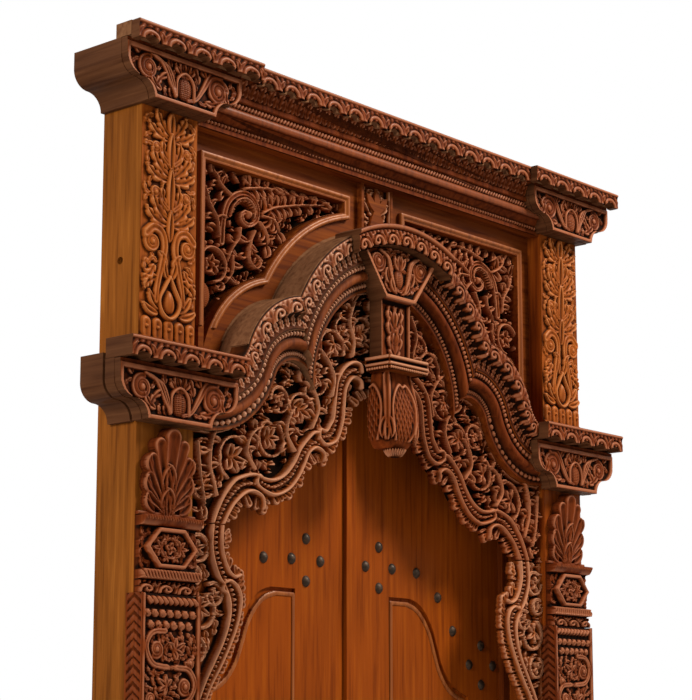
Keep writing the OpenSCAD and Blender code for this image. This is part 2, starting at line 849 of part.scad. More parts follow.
module side_fret() {
    color(carved) front_slab(fret_y, fret_t) difference() {
        side_fret_outline();
        for (g = side_gap_shares)
            translate(side_spot(g)) rotate(g[2]) lens(g[3] * bay, g[4] * bay);
    }
}

module capital() {
    front = post_front - capital_proj + face_t;
    color(dark) front_slab(front, post_front - front) capital_outline();
}

module capital_face() {
    base_t = face_t / 2;
    front = post_front - capital_proj;
    color(carved) {
        front_slab(front + base_t, base_t) capital_outline();
        front_slab(front, face_t) translate([post_x, capital_z])
            corbel_carving(capital_w, capital_foot_w, capital_h, capital_h / 12);
    }
}

module capital_slab() {
    color(carved) {
        translate([post_x, 0, slab_z + scroll_drop]) front_slab(post_front - slab_proj, scallop_r)
            scroll_band(capital_w, slab_t - scroll_drop, scroll_drop);
        translate([post_x - capital_w / 2, post_front - slab_proj + scallop_r, slab_z])
            cube([capital_w, slab_proj - scallop_r, slab_t]);
    }
}

module rear_capital() {
    lift = slab_t / 3;
    color(dark) front_slab(post_front + rear_capital_set, rear_capital_d) intersection() {
        translate([post_x, capital_z]) corbel(capital_w, capital_foot_w, capital_h + lift);
        translate([bay + post_w, capital_z]) square([capital_w, capital_h + lift]);
    }
}

// The carving above a capital: a cup row, a pair of curling stems, a bud and foliage
module upper_pilaster() {
    h = block_z - spring_h;
    base_t = pilaster_t / 3;
    color(carved) {
        front_slab(post_front - base_t, base_t) translate([bay, spring_h]) square([post_w, h]);
        front_slab(post_front - pilaster_t, pilaster_t) translate([post_x, spring_h]) {
            translate([-post_w / 2, 0]) square([post_w, h / 20]);
            for (i = [-2:2]) translate([i * post_w / 5, h / 9]) rotate(90) lens(h / 8, post_w / 6);
            for (s = [-1, 1]) mirror([s < 0 ? 1 : 0, 0]) {
                translate([post_w / 4, 0.27 * h]) volute(post_w / 5, stem_w);
                translate([post_w / 5, 0.44 * h]) rotate(60) lens(post_w / 2, post_w / 8);
                translate([post_w / 4, 0.58 * h]) volute(post_w / 6, stem_w);
                translate([post_w / 4, 0.72 * h]) rotate(110) lens(post_w / 2, post_w / 7);
                translate([post_w / 4, 0.88 * h]) rotate(60) lens(post_w / 2, post_w / 6);
            }
            translate([0, 0.3 * h]) rotate(90) lens(0.2 * h, post_w / 4);
            translate([0, 0.62 * h]) rotate(90) lens(0.24 * h, post_w / 4);
            translate([0, 0.88 * h]) rotate(90) lens(0.2 * h, post_w / 4);
        }
    }
}

// A big hollowed leaf: a curved back that leans out under the capital
module leaf_console() {
    lean_r = (console_h * console_h + console_proj * console_proj) / (2 * console_proj);
    groove_r = post_w / 16;
    color(carved) difference() {
        intersection() {
            translate([bay, post_front - console_proj, console_z]) cube([post_w, console_proj, console_h]);
            translate([bay, post_front - lean_r, console_z + console_h]) rotate([0, 90, 0]) difference() {
                translate([0, 0, -over]) cylinder(h = post_w + 2 * over, r = 2 * lean_r);
                translate([console_h, 0, -2 * over]) cylinder(h = post_w + 4 * over, r = lean_r - groove_r);
            }
            front_slab(post_front - console_proj - over, console_proj + 2 * over)
                translate([post_x, console_z]) {
                    translate([0, console_h / 2]) rotate(90) lens(1.3 * console_h, 0.8 * post_w);
                    for (s = [-1, 1], k = [0:3])
                        translate([s * (0.24 + 0.04 * k) * post_w, (0.16 + 0.18 * k) * console_h])
                            circle(post_w / 7);
                    translate([-post_w / 2, 0]) square([post_w, console_h / 12]);
                }
        }
        for (a = [-24, -12, 0, 12, 24])
            translate([post_x, post_front - console_proj, console_z]) rotate([0, a, 0])
                translate([0, 0, console_h / 5]) cylinder(h = 0.7 * console_h, r = groove_r);
    }
}

// Ledge, six-sided boss, fluted strip and lotus row
module boss_block() {
    ledge = boss_h / 9;
    boss_r = post_w / 2.1;
    boss_c = 0.58 * boss_h;
    flute_z = 0.16 * boss_h;
    color(carved) {
        translate([bay, post_front - boss_proj, boss_z + boss_h - ledge]) cube([post_w, boss_proj, ledge]);
        front_slab(post_front - boss_proj / 2, boss_proj / 2) translate([bay, boss_z])
            square([post_w, boss_h - ledge]);
        front_slab(post_front - boss_proj, boss_proj) translate([post_x, boss_z + boss_c]) intersection() {
            circle(boss_r, $fn = 6);
            square([2 * boss_r, 0.56 * boss_h], center = true);
        }
        front_slab(post_front - 0.8 * boss_proj, 0.8 * boss_proj) translate([post_x, boss_z])
            for (i = [-3:3]) translate([i * post_w / 7.4, flute_z]) rotate(90) lens(2 * flute_z, post_w / 9);
        translate([bay, post_front - 0.9 * boss_proj, boss_z]) cube([post_w, 0.9 * boss_proj, flute_z / 4]);
    }
}

// The lower shaft: a carved board between plain edges, on a plain base
module shaft() {
    base_proj = shaft_proj + over;
    relief = shaft_proj / 4;
    edge_w = post_w / 7;
    color(carved) {
        front_slab(post_front - shaft_proj + relief, shaft_proj - relief) translate([bay, base_h])
            square([post_w, boss_z - base_h]);
        front_slab(post_front - shaft_proj, relief) translate([post_x, base_h]) {
            for (s = [-1, 1]) translate([s * (post_w - edge_w) / 2 - edge_w / 2, 0])
                square([edge_w, boss_z - base_h]);
            for (z = [boss_z - base_h - post_w / 2 : -post_w : post_w / 2]) translate([0, z]) {
                volute(post_w / 4, stem_w);
                for (a = [45:90:315]) rotate(a) translate([0.36 * post_w, 0]) lens(post_w / 4, post_w / 9);
            }
        }
        translate([bay, post_front - base_proj, 0]) cube([post_w, base_proj, base_h]);
    }
}

module jamb() {
    color(plain) {
        translate([jamb_x, post_rear, 0]) cube([jamb_w, leaf_set + leaf_t, lining_z + lining_h]);
        translate([jamb_x - lip_w, post_rear, 0]) cube([lip_w + over, leaf_set - stop_clear, lining_z]);
    }
}

module head_lining() {
    color(plain) {
        translate([-jamb_x, post_rear, lining_z]) cube([2 * jamb_x, leaf_set + leaf_t, lining_h]);
        translate([lip_w - jamb_x, post_rear, lining_z - lip_w])
            cube([2 * (jamb_x - lip_w), leaf_set - stop_clear, lip_w + over]);
    }
}

// Raised field of a leaf: square to the meeting edge, with a shoulder that falls to the hinge side
field_in_share = 0.27;
field_top_drop = 425;
field_low_z = 160;
field_shoulder_shares = [
    [0.4, 0], [0.455, 0.006], [0.505, 0.02], [0.545, 0.04], [0.572, 0.063], [0.605, 0.088], [0.66, 0.11],
    [0.73, 0.122], [0.77, 0.126]
];

module field_outline(inset) {
    top_z = leaf_top - field_top_drop;
    h = top_z - field_low_z;
    in_x = field_in_share * leaf_x;
    shoulder = smooth_line([for (p = field_shoulder_shares) [p[0] * leaf_x, top_z - p[1] * h]], edge_steps);
    low = shoulder[len(shoulder) - 1];
    translate([inset / 2, 0]) polygon(concat(
        [[in_x, field_low_z + inset], [in_x, top_z - inset]],
        [for (p = shoulder) [p[0] - 1.5 * inset, p[1] - inset]],
        [[low[0] - 1.5 * inset, field_low_z + inset]]
    ));
}

module leaf() {
    color(plain) difference() {
        translate([leaf_gap / 2, leaf_y, floor_gap])
            cube([leaf_x - leaf_gap / 2, leaf_t, leaf_top - floor_gap]);
        front_slab(leaf_y - over, over + groove_d) difference() {
            field_outline(0);
            field_outline(groove_w);
        }
    }
}

// Places of the studs on a leaf: shares of the leaf's width, depth below its top as shares of its height
cross_in = 111;
cross_in_drop = 367;
cross_out = 452;
cross_out_drop = 555;
stud_line_shares = [[0.44, 0.173], [0.575, 0.195], [0.67, 0.227]];

module stud() {
    r = (stud_d * stud_d / 4 + stud_h * stud_h) / (2 * stud_h);
    rotate([90, 0, 0]) intersection() {
        translate([0, 0, stud_h - r]) sphere(r);
        cylinder(h = stud_h + over, d = stud_d);
    }
}

module studs() {
    h = leaf_top - floor_gap;
    color(iron) translate([0, leaf_y, 0]) {
        for (c = [[cross_in, cross_in_drop], [cross_out, cross_out_drop]], a = [0:90:270])
            translate([c[0] + cross_arm * cos(a), 0, leaf_top - c[1] + cross_arm * sin(a)]) stud();
        for (p = stud_line_shares) translate([p[0] * leaf_x, 0, leaf_top - p[1] * h]) stud();
    }
}

module meeting_strip() {
    color(plain) translate([leaf_gap / 2, leaf_y - strip_t, threshold_h + floor_gap])
        cube([strip_w, strip_t, leaf_top - lip_w - 2 * floor_gap - threshold_h]);
}

// Hinges: five knuckles on one pin, the outer and middle ones on the jamb's plate
knuckle_l = hinge_l / 5;
knuckle_gap = 0.4;

module hinge_places() {
    for (s = hinge_z_shares) translate([hinge_x, hinge_y, s * leaf_top - hinge_l / 2]) children();
}

module knuckles(which) {
    for (i = which) translate([0, 0, i * knuckle_l + knuckle_gap / 2])
        cylinder(h = knuckle_l - knuckle_gap, d = knuckle_d);
}

module knuckle_plates(which, away) {
    root = -knuckle_d / 2;
    for (i = which) translate([away > 0 ? 0 : -knuckle_d / 2, root, i * knuckle_l + knuckle_gap / 2])
        cube([knuckle_d / 2, plate_t, knuckle_l - knuckle_gap]);
    translate([away > 0 ? leaf_gap / 2 : -leaf_gap / 2 - plate_w, root, 0]) cube([plate_w, plate_t, hinge_l]);
}

module jamb_hinge_plates() {
    color(iron) for (left = [false, true]) on_side(left) hinge_places() difference() {
        union() {
            knuckles([0, 2, 4]);
            difference() {
                knuckle_plates([0, 2, 4], 1);
                for (i = [1, 3]) translate([-over, -knuckle_d, i * knuckle_l - knuckle_gap / 2])
                    cube([over + knuckle_d, 2 * knuckle_d, knuckle_l + knuckle_gap]);
            }
        }
        translate([0, 0, -over]) cylinder(h = hinge_l + 2 * over, d = pin_d);
    }
}

module hinge_pins() {
    color(iron) for (left = [false, true]) on_side(left) hinge_places()
        cylinder(h = hinge_l, d = pin_d);
}

module leaf_hinge_plates() {
    color(iron) hinge_places() difference() {
        union() {
            knuckles([1, 3]);
            difference() {
                knuckle_plates([1, 3], -1);
                for (i = [0, 2, 4]) translate([-knuckle_d, -knuckle_d, i * knuckle_l - knuckle_gap / 2])
                    cube([over + knuckle_d, 2 * knuckle_d, knuckle_l + knuckle_gap]);
            }
        }
        translate([0, 0, -over]) cylinder(h = hinge_l + 2 * over, d = pin_d + 2 * pin_clear);
    }
}

on_side(true) post();  // left_post
on_side(false) post();  // right_post
head_beam();
threshold();
cornice_moulding();
crown();
on_side(true) crown_cap();  // left_crown_cap
on_side(false) crown_cap();  // right_crown_cap
on_side(true) cornice_block();  // left_cornice_block
on_side(false) cornice_block();  // right_cornice_block
on_side(true) block_face();  // left_block_face
on_side(false) block_face();  // right_block_face
on_side(true) transom_frame();  // left_transom_frame
on_side(false) transom_frame();  // right_transom_frame
on_side(true) transom_fret();  // left_transom_fret
on_side(false) transom_fret();  // right_transom_fret
on_side(true) transom_backing();  // left_transom_backing
on_side(false) transom_backing();  // right_transom_backing
transom_mullion();
on_side(true) arch_half();  // left_arch
on_side(false) arch_half();  // right_arch
keystone();
keystone_cap();
pendant_ledge();
pendant();
on_side(true) spandrel();  // left_spandrel
on_side(false) spandrel();  // right_spandrel
on_side(true) spandrel_backing();  // left_spandrel_backing
on_side(false) spandrel_backing();  // right_spandrel_backing
on_side(true) side_fret();  // left_side_fret
on_side(false) side_fret();  // right_side_fret
on_side(true) capital();  // left_capital
on_side(false) capital();  // right_capital
on_side(true) capital_face();  // left_capital_face
on_side(false) capital_face();  // right_capital_face
on_side(true) capital_slab();  // left_capital_slab
on_side(false) capital_slab();  // right_capital_slab
on_side(true) rear_capital();  // left_rear_capital
on_side(false) rear_capital();  // right_rear_capital
on_side(true) upper_pilaster();  // left_upper_pilaster
on_side(false) upper_pilaster();  // right_upper_pilaster
on_side(true) leaf_console();  // left_leaf_console
on_side(false) leaf_console();  // right_leaf_console
on_side(true) boss_block();  // left_boss_block
on_side(false) boss_block();  // right_boss_block
on_side(true) shaft();  // left_shaft
on_side(false) shaft();  // right_shaft
on_side(true) jamb();  // left_jamb
on_side(false) jamb();  // right_jamb
head_lining();
jamb_hinge_plates();
hinge_pins();
on_side(true) leaf();  // left_leaf
on_side(false) leaf();  // right_leaf
on_side(true) studs();  // left_studs
on_side(false) studs();  // right_studs
meeting_strip();
on_side(true) leaf_hinge_plates();  // left_hinge_plates
on_side(false) leaf_hinge_plates();  // right_hinge_plates
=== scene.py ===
import math

import bmesh
import bpy
import numpy as np
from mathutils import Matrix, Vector


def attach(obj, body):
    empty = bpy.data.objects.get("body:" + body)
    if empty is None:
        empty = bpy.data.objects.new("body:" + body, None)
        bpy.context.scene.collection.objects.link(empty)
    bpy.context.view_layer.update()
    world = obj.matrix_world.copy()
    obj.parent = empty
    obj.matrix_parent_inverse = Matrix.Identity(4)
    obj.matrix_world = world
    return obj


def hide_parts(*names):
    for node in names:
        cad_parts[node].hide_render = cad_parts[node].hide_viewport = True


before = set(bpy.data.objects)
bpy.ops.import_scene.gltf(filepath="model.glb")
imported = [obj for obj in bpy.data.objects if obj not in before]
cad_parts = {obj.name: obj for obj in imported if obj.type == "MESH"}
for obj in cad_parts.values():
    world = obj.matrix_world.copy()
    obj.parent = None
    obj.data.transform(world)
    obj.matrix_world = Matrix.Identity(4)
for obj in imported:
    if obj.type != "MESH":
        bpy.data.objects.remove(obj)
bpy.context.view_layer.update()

# Posts: two square teak posts, planed and varnished, standing on the floor.
# The grain runs up the post, and the outer side is left plain.
# They are fixed to the wall opening by anchors in that side.
teak_grain = bpy.data.node_groups.new("teak_grain", "ShaderNodeTree")
for socket, kind in (("Stretch", "NodeSocketVector"), ("Light", "NodeSocketColor"),
                     ("Mid", "NodeSocketColor"), ("Dark", "NodeSocketColor")):
    teak_grain.interface.new_socket(socket, in_out="INPUT", socket_type=kind)
for socket, kind in (("Color", "NodeSocketColor"), ("Roughness", "NodeSocketFloat"),
                     ("Height", "NodeSocketFloat")):
    teak_grain.interface.new_socket(socket, in_out="OUTPUT", socket_type=kind)


def add_node(tree, kind, **settings):
    """A new node: sockets are set by their names, other settings by attribute."""
    node = tree.nodes.new(kind)
    for key, value in settings.items():
        if key in node.inputs:
            node.inputs[key].default_value = value
        else:
            setattr(node, key, value)
    return node


def span_map(tree, value, low, high, to_low, to_high):
    """A smooth step of a value from one span to another."""
    node = add_node(tree, "ShaderNodeMapRange", interpolation_type="SMOOTHSTEP")
    for key, number in (("From Min", low), ("From Max", high), ("To Min", to_low), ("To Max", to_high)):
        node.inputs[key].default_value = number
    tree.links.new(value, node.inputs["Value"])
    return node.outputs["Result"]


def blend_colors(tree, factor, first, second):
    """Two colours mixed by a factor."""
    node = add_node(tree, "ShaderNodeMix", data_type="RGBA")
    for number, value in ((0, factor), (6, first), (7, second)):
        if isinstance(value, bpy.types.NodeSocket):
            tree.links.new(value, node.inputs[number])
        else:
            node.inputs[number].default_value = value
    return node.outputs[2]


def fill_grain_group(tree):
    """Teak: long streaks, faint growth lines and short dark pores along the grain."""
    enter = tree.nodes.new("NodeGroupInput")
    leave = tree.nodes.new("NodeGroupOutput")
    place = tree.nodes.new("ShaderNodeTexCoord")
    along = add_node(tree, "ShaderNodeVectorMath", operation="MULTIPLY")
    tree.links.new(place.outputs["Object"], along.inputs[0])
    tree.links.new(enter.outputs["Stretch"], along.inputs[1])
    noises = {}
    for name, scale, detail, distortion in (
            ("figure", 7, 2, 0.4), ("streak", 110, 6, 0.3), ("pore", 420, 2, 0)):
        noise = add_node(tree, "ShaderNodeTexNoise", Scale=scale, Detail=detail, Distortion=distortion)
        tree.links.new(along.outputs[0], noise.inputs["Vector"])
        noises[name] = noise.outputs["Fac"]
    broad = add_node(tree, "ShaderNodeTexNoise", Scale=3.0, Detail=2.0)
    tree.links.new(place.outputs["Object"], broad.inputs["Vector"])
    rings = add_node(tree, "ShaderNodeMath", operation="MULTIPLY")
    rings.inputs[1].default_value = 90
    tree.links.new(noises["figure"], rings.inputs[0])
    wave = add_node(tree, "ShaderNodeMath", operation="SINE")
    tree.links.new(rings.outputs[0], wave.inputs[0])
    lines = span_map(tree, wave.outputs[0], -1, 1, -0.035, 0.035)
    tone = add_node(tree, "ShaderNodeMath", operation="ADD")
    tree.links.new(noises["streak"], tone.inputs[0])
    tree.links.new(lines, tone.inputs[1])
    low = blend_colors(tree, span_map(tree, tone.outputs[0], 0.3, 0.5, 0, 1),
                       enter.outputs["Dark"], enter.outputs["Mid"])
    high = blend_colors(tree, span_map(tree, tone.outputs[0], 0.5, 0.72, 0, 1), low, enter.outputs["Light"])
    pores = blend_colors(tree, span_map(tree, noises["pore"], 0.3, 0.42, 0.35, 0),
                         high, enter.outputs["Dark"])
    shade = span_map(tree, broad.outputs["Fac"], 0.3, 0.7, 0.86, 1.14)
    lift = add_node(tree, "ShaderNodeHueSaturation")
    tree.links.new(pores, lift.inputs["Color"])
    tree.links.new(shade, lift.inputs["Value"])
    tree.links.new(lift.outputs[0], leave.inputs["Color"])
    tree.links.new(span_map(tree, noises["streak"], 0.3, 0.7, 0.48, 0.36), leave.inputs["Roughness"])
    tree.links.new(noises["pore"], leave.inputs["Height"])


fill_grain_group(teak_grain)
grain_up = (1, 1, 0.045)


def teak(name, stretch, light, mid, dark, gloss=0.06):
    """Varnished teak with its grain along one direction."""
    material = bpy.data.materials.new(name)
    material.use_nodes = True
    tree = material.node_tree
    shader = tree.nodes["Principled BSDF"]
    shader.inputs["Specular IOR Level"].default_value = gloss
    shader.inputs["Specular Tint"].default_value = (1, 0.6, 0.34, 1)
    grain = add_node(tree, "ShaderNodeGroup", node_tree=teak_grain)
    grain.inputs["Stretch"].default_value = stretch
    for socket, color in (("Light", light), ("Mid", mid), ("Dark", dark)):
        grain.inputs[socket].default_value = (*color, 1)
    bump = add_node(tree, "ShaderNodeBump", Strength=0.1, Distance=0.0006)
    tree.links.new(grain.outputs["Color"], shader.inputs["Base Color"])
    tree.links.new(grain.outputs["Roughness"], shader.inputs["Roughness"])
    tree.links.new(grain.outputs["Height"], bump.inputs["Height"])
    tree.links.new(bump.outputs[0], shader.inputs["Normal"])
    return material


def dress(material, *names):
    """Gives CAD nodes their finish."""
    for name in names:
        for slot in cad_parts[name].material_slots:
            slot.material = material


def both(name):
    return "left_" + name, "right_" + name


golden = teak("golden_teak", grain_up, (0.34, 0.105, 0.014), (0.255, 0.073, 0.009), (0.15, 0.04, 0.005))
dress(golden, "left_post")
ruddy = teak("ruddy_teak", grain_up, (0.3, 0.066, 0.007), (0.22, 0.042, 0.0045), (0.12, 0.021, 0.003))
dress(ruddy, "right_post")

# Head beam, threshold, jambs and head lining: plain teak members between and behind the posts.
# The jambs and the lining are rebated, and the leaves close against their lips.
grain_across = (0.045, 1, 1)
inner_brown = (0.2, 0.042, 0.006), (0.14, 0.026, 0.004), (0.08, 0.013, 0.002)
lying = teak("lying_teak", grain_across, *inner_brown)
upright = teak("upright_teak", grain_up, *inner_brown)
dress(lying, "head_beam", "threshold", "head_lining")
dress(upright, *both("jamb"))

# Leaves and meeting strip: plain teak boards, varnished orange, with a grooved raised field.
# The strip is planted along the right leaf's meeting edge.
orange = teak("orange_teak", grain_up, (0.365, 0.074, 0.005), (0.295, 0.054, 0.004), (0.2, 0.034, 0.003))
dress(orange, *both("leaf"), "meeting_strip")

# Studs, hinge plates and pins: wrought iron, blackened, with a little brown rust in spots.
# The studs are driven through the leaves; the plates are let in behind.
black_iron = bpy.data.materials.new("black_iron")
black_iron.use_nodes = True
iron_tree = black_iron.node_tree
iron_shader = iron_tree.nodes["Principled BSDF"]
iron_shader.inputs["Metallic"].default_value = 0.25
iron_shader.inputs["Specular IOR Level"].default_value = 0.4
iron_shader.inputs["Specular Tint"].default_value = (1, 0.72, 0.5, 1)
iron_place = iron_tree.nodes.new("ShaderNodeTexCoord")
iron_spots = add_node(iron_tree, "ShaderNodeTexNoise", Scale=160.0, Detail=4.0)
iron_tree.links.new(iron_place.outputs["Object"], iron_spots.inputs["Vector"])
rust = span_map(iron_tree, iron_spots.outputs["Fac"], 0.45, 0.7, 0, 1)
iron_color = blend_colors(iron_tree, rust, (0.022, 0.013, 0.008, 1), (0.06, 0.028, 0.014, 1))
iron_tree.links.new(iron_color, iron_shader.inputs["Base Color"])
iron_rough = span_map(iron_tree, iron_spots.outputs["Fac"], 0.3, 0.7, 0.34, 0.6)
iron_tree.links.new(iron_rough, iron_shader.inputs["Roughness"])
dress(black_iron, *both("studs"), *both("hinge_plates"), "jamb_hinge_plates", "hinge_pins")

# Backing boards: thin boards nailed behind the pierced panels, coloured nearly black as painted shade,
# so that the gaps of the fretwork read dark.
painted_shade_board = teak("painted_shade_board", grain_across, (0.016, 0.008, 0.004), (0.01, 0.005, 0.003),
                   (0.005, 0.003, 0.002), 0)
dress(painted_shade_board, *both("transom_backing"), *both("spandrel_backing"))

# Cornice end blocks, capitals and rear capitals: sawn corbels of darker teak, left plain at their ends.
# They are dowelled to the posts, and carry the carved face boards.
grain_inwards = (1, 0.045, 1)
stained = teak("stained_teak", grain_inwards, (0.14, 0.052, 0.02), (0.105, 0.037, 0.014),
               (0.065, 0.021, 0.008), 0.05)
dress(stained, *both("cornice_block"), *both("capital"), *both("rear_capital"))

# Mouldings: run teak, redder than the posts, for the arch, the cornice, the crown and the transom frames.
# The carving is worked on them in place. The left half of the arch and the crown are paler and greyer, with
# dust; on the left half the paleness is also painted light, beside the shaded right half.
moulding_red = (0.25, 0.058, 0.009), (0.18, 0.037, 0.0055), (0.1, 0.018, 0.003)
moulded = teak("moulded_teak", grain_across, *moulding_red)
moulded_up = teak("moulded_up_teak", grain_up, *moulding_red)
dusty_and_lit = teak("dusty_lit_teak", grain_across, (0.26, 0.115, 0.05), (0.21, 0.09, 0.039), (0.15, 0.06, 0.026), 0)
# Paler on the left half of the arch than on the right, partly as painted light.
dress(dusty_and_lit, "left_arch", "crown")
dress(moulded, "right_arch", "cornice_moulding", "transom_mullion", "keystone", "keystone_cap",
      "pendant_ledge", *both("crown_cap"), *both("transom_frame"), *both("capital_slab"))
dress(moulded_up, "pendant")
for name in ("leaf_console", "boss_block", "shaft", "upper_pilaster", "side_fret", "spandrel",
             "transom_fret", "block_face", "capital_face"):
    dress(moulded_up, *both(name))

# Corbel face boards: carved teak boards on the fronts of the end blocks and the capitals.
# Inside a raised fillet lie two volutes on S-shaped stems, a hatched seed cone and curled leaves,
# cut by hand, with a painted highlight where they stand out and painted shade in the hollows.
mm = 0.001
bay = 537
post_w = 138
post_x = bay + post_w / 2
corbel_wide = 288
block_low, block_tall, block_foot = 2553, 97, 156
capital_low, capital_tall, capital_foot = 1977, 99, 158


def carved_finish(name, light, mid, dark, painted_highlight, hollow, gloss=0.08):
    """Carved teak: painted shade, near black, in the hollows, a painted highlight on the raised edges, dull
    where the cloth doesn't reach.
    """
    material = teak(name, grain_up, light, mid, dark, gloss)
    tree = material.node_tree
    shader = tree.nodes["Principled BSDF"]
    mark = add_node(tree, "ShaderNodeAttribute", attribute_name="depth").outputs["Fac"]
    # Painted shade is mixed in where the depth mark is low, and a painted highlight where it is high.
    shaded_color = blend_colors(tree, span_map(tree, mark, 0.12, 0.56, 0.99, 0),
                           tree.nodes["Group"].outputs["Color"], (*hollow, 1))
    edges = blend_colors(tree, span_map(tree, mark, 0.56, 0.95, 0, 0.8), shaded_color, (*painted_highlight, 1))
    tree.links.new(edges, shader.inputs["Base Color"])
    tree.links.new(span_map(tree, mark, 0.4, 0.75, 0.8, 0.34), shader.inputs["Roughness"])
    return material


# The near-black painted shade of the deepest hollows.
hollow_shade = (0.005, 0.0011, 0.0004)
carved = carved_finish("carved_teak", (0.34, 0.085, 0.015), (0.26, 0.057, 0.0095), (0.15, 0.029, 0.005),
                       (0.6, 0.26, 0.13), (0.006, 0.0015, 0.0005))
carved_dark = carved_finish("carved_dark_teak", (0.21, 0.041, 0.0075), (0.155, 0.027, 0.005),
                            (0.085, 0.0135, 0.0025), (0.42, 0.14, 0.06), hollow_shade)


def smooth_path(points, steps=8):
    """A curve through the given points."""
    p = np.array(points, float)
    q = np.vstack([2 * p[0] - p[1], p, 2 * p[-1] - p[-2]])
    t = (np.arange(steps) / steps)[:, None]
    runs = []
    for k in range(len(p) - 1):
        a, b, c, d = q[k:k + 4]
        runs.append(0.5 * (2 * b + (c - a) * t + (2 * a - 5 * b + 4 * c - d) * t ** 2
                           + (3 * b - a - 3 * c + d) * t ** 3))
    return np.vstack(runs + [p[-1:]])


def round_form(r):
    return np.sqrt(np.clip(1 - r * r, 0, 1))


def flat_form(r):
    return np.clip(2.5 * (1 - r), 0, 1)


def cupped_form(r):
    """A scroll band or a stem: two raised rims with a hollow between."""
    return round_form(r) * (1 - 0.45 * np.exp(-(r / 0.42) ** 2))


def gouged_form(r):
    """A leaf blade with a groove down its middle."""
    return np.sqrt(np.clip(1 - r ** 4, 0, 1)) * (1 - 0.5 * np.exp(-(r / 0.3) ** 2))


def soften(h, reach):
    """Heights averaged over a square round each point."""
    size = 2 * reach + 1
    for axis in (0, 1):
        pad = [(0, 0), (0, 0)]
        pad[axis] = (reach + 1, reach)
        total = np.moveaxis(np.cumsum(np.pad(h, pad, mode="edge"), axis), axis, 0)
        h = np.moveaxis((total[size:] - total[:-size]) / size, 0, axis)
    return h


def close_behind(work, border, flat, edge_finish):
    """Draws a sheet's border straight back, or to the places that its points keep, and fills the back."""
    depth = work.verts.layers.float["depth"]
    ends = work.verts.layers.float_vector["rear"]
    grown = bmesh.ops.extrude_edge_only(work, edges=border)["geom"]
    new_verts = [g for g in grown if isinstance(g, bmesh.types.BMVert)]
    for g in grown:
        if isinstance(g, bmesh.types.BMFace):
            g.material_index = edge_finish
    for v in new_verts:
        # The cut sides get a low tone, so that a carved finish paints some shade on them.
        v[depth] = 0.3
        v.co = (v.co.x, v[ends].y, v.co.z) if flat else v[ends]
    bmesh.ops.remove_doubles(work, verts=new_verts, dist=1e-7)
    open_edges = [e for e in work.edges if e.is_boundary]
    bmesh.ops.triangle_fill(work, edges=open_edges, use_beauty=False)


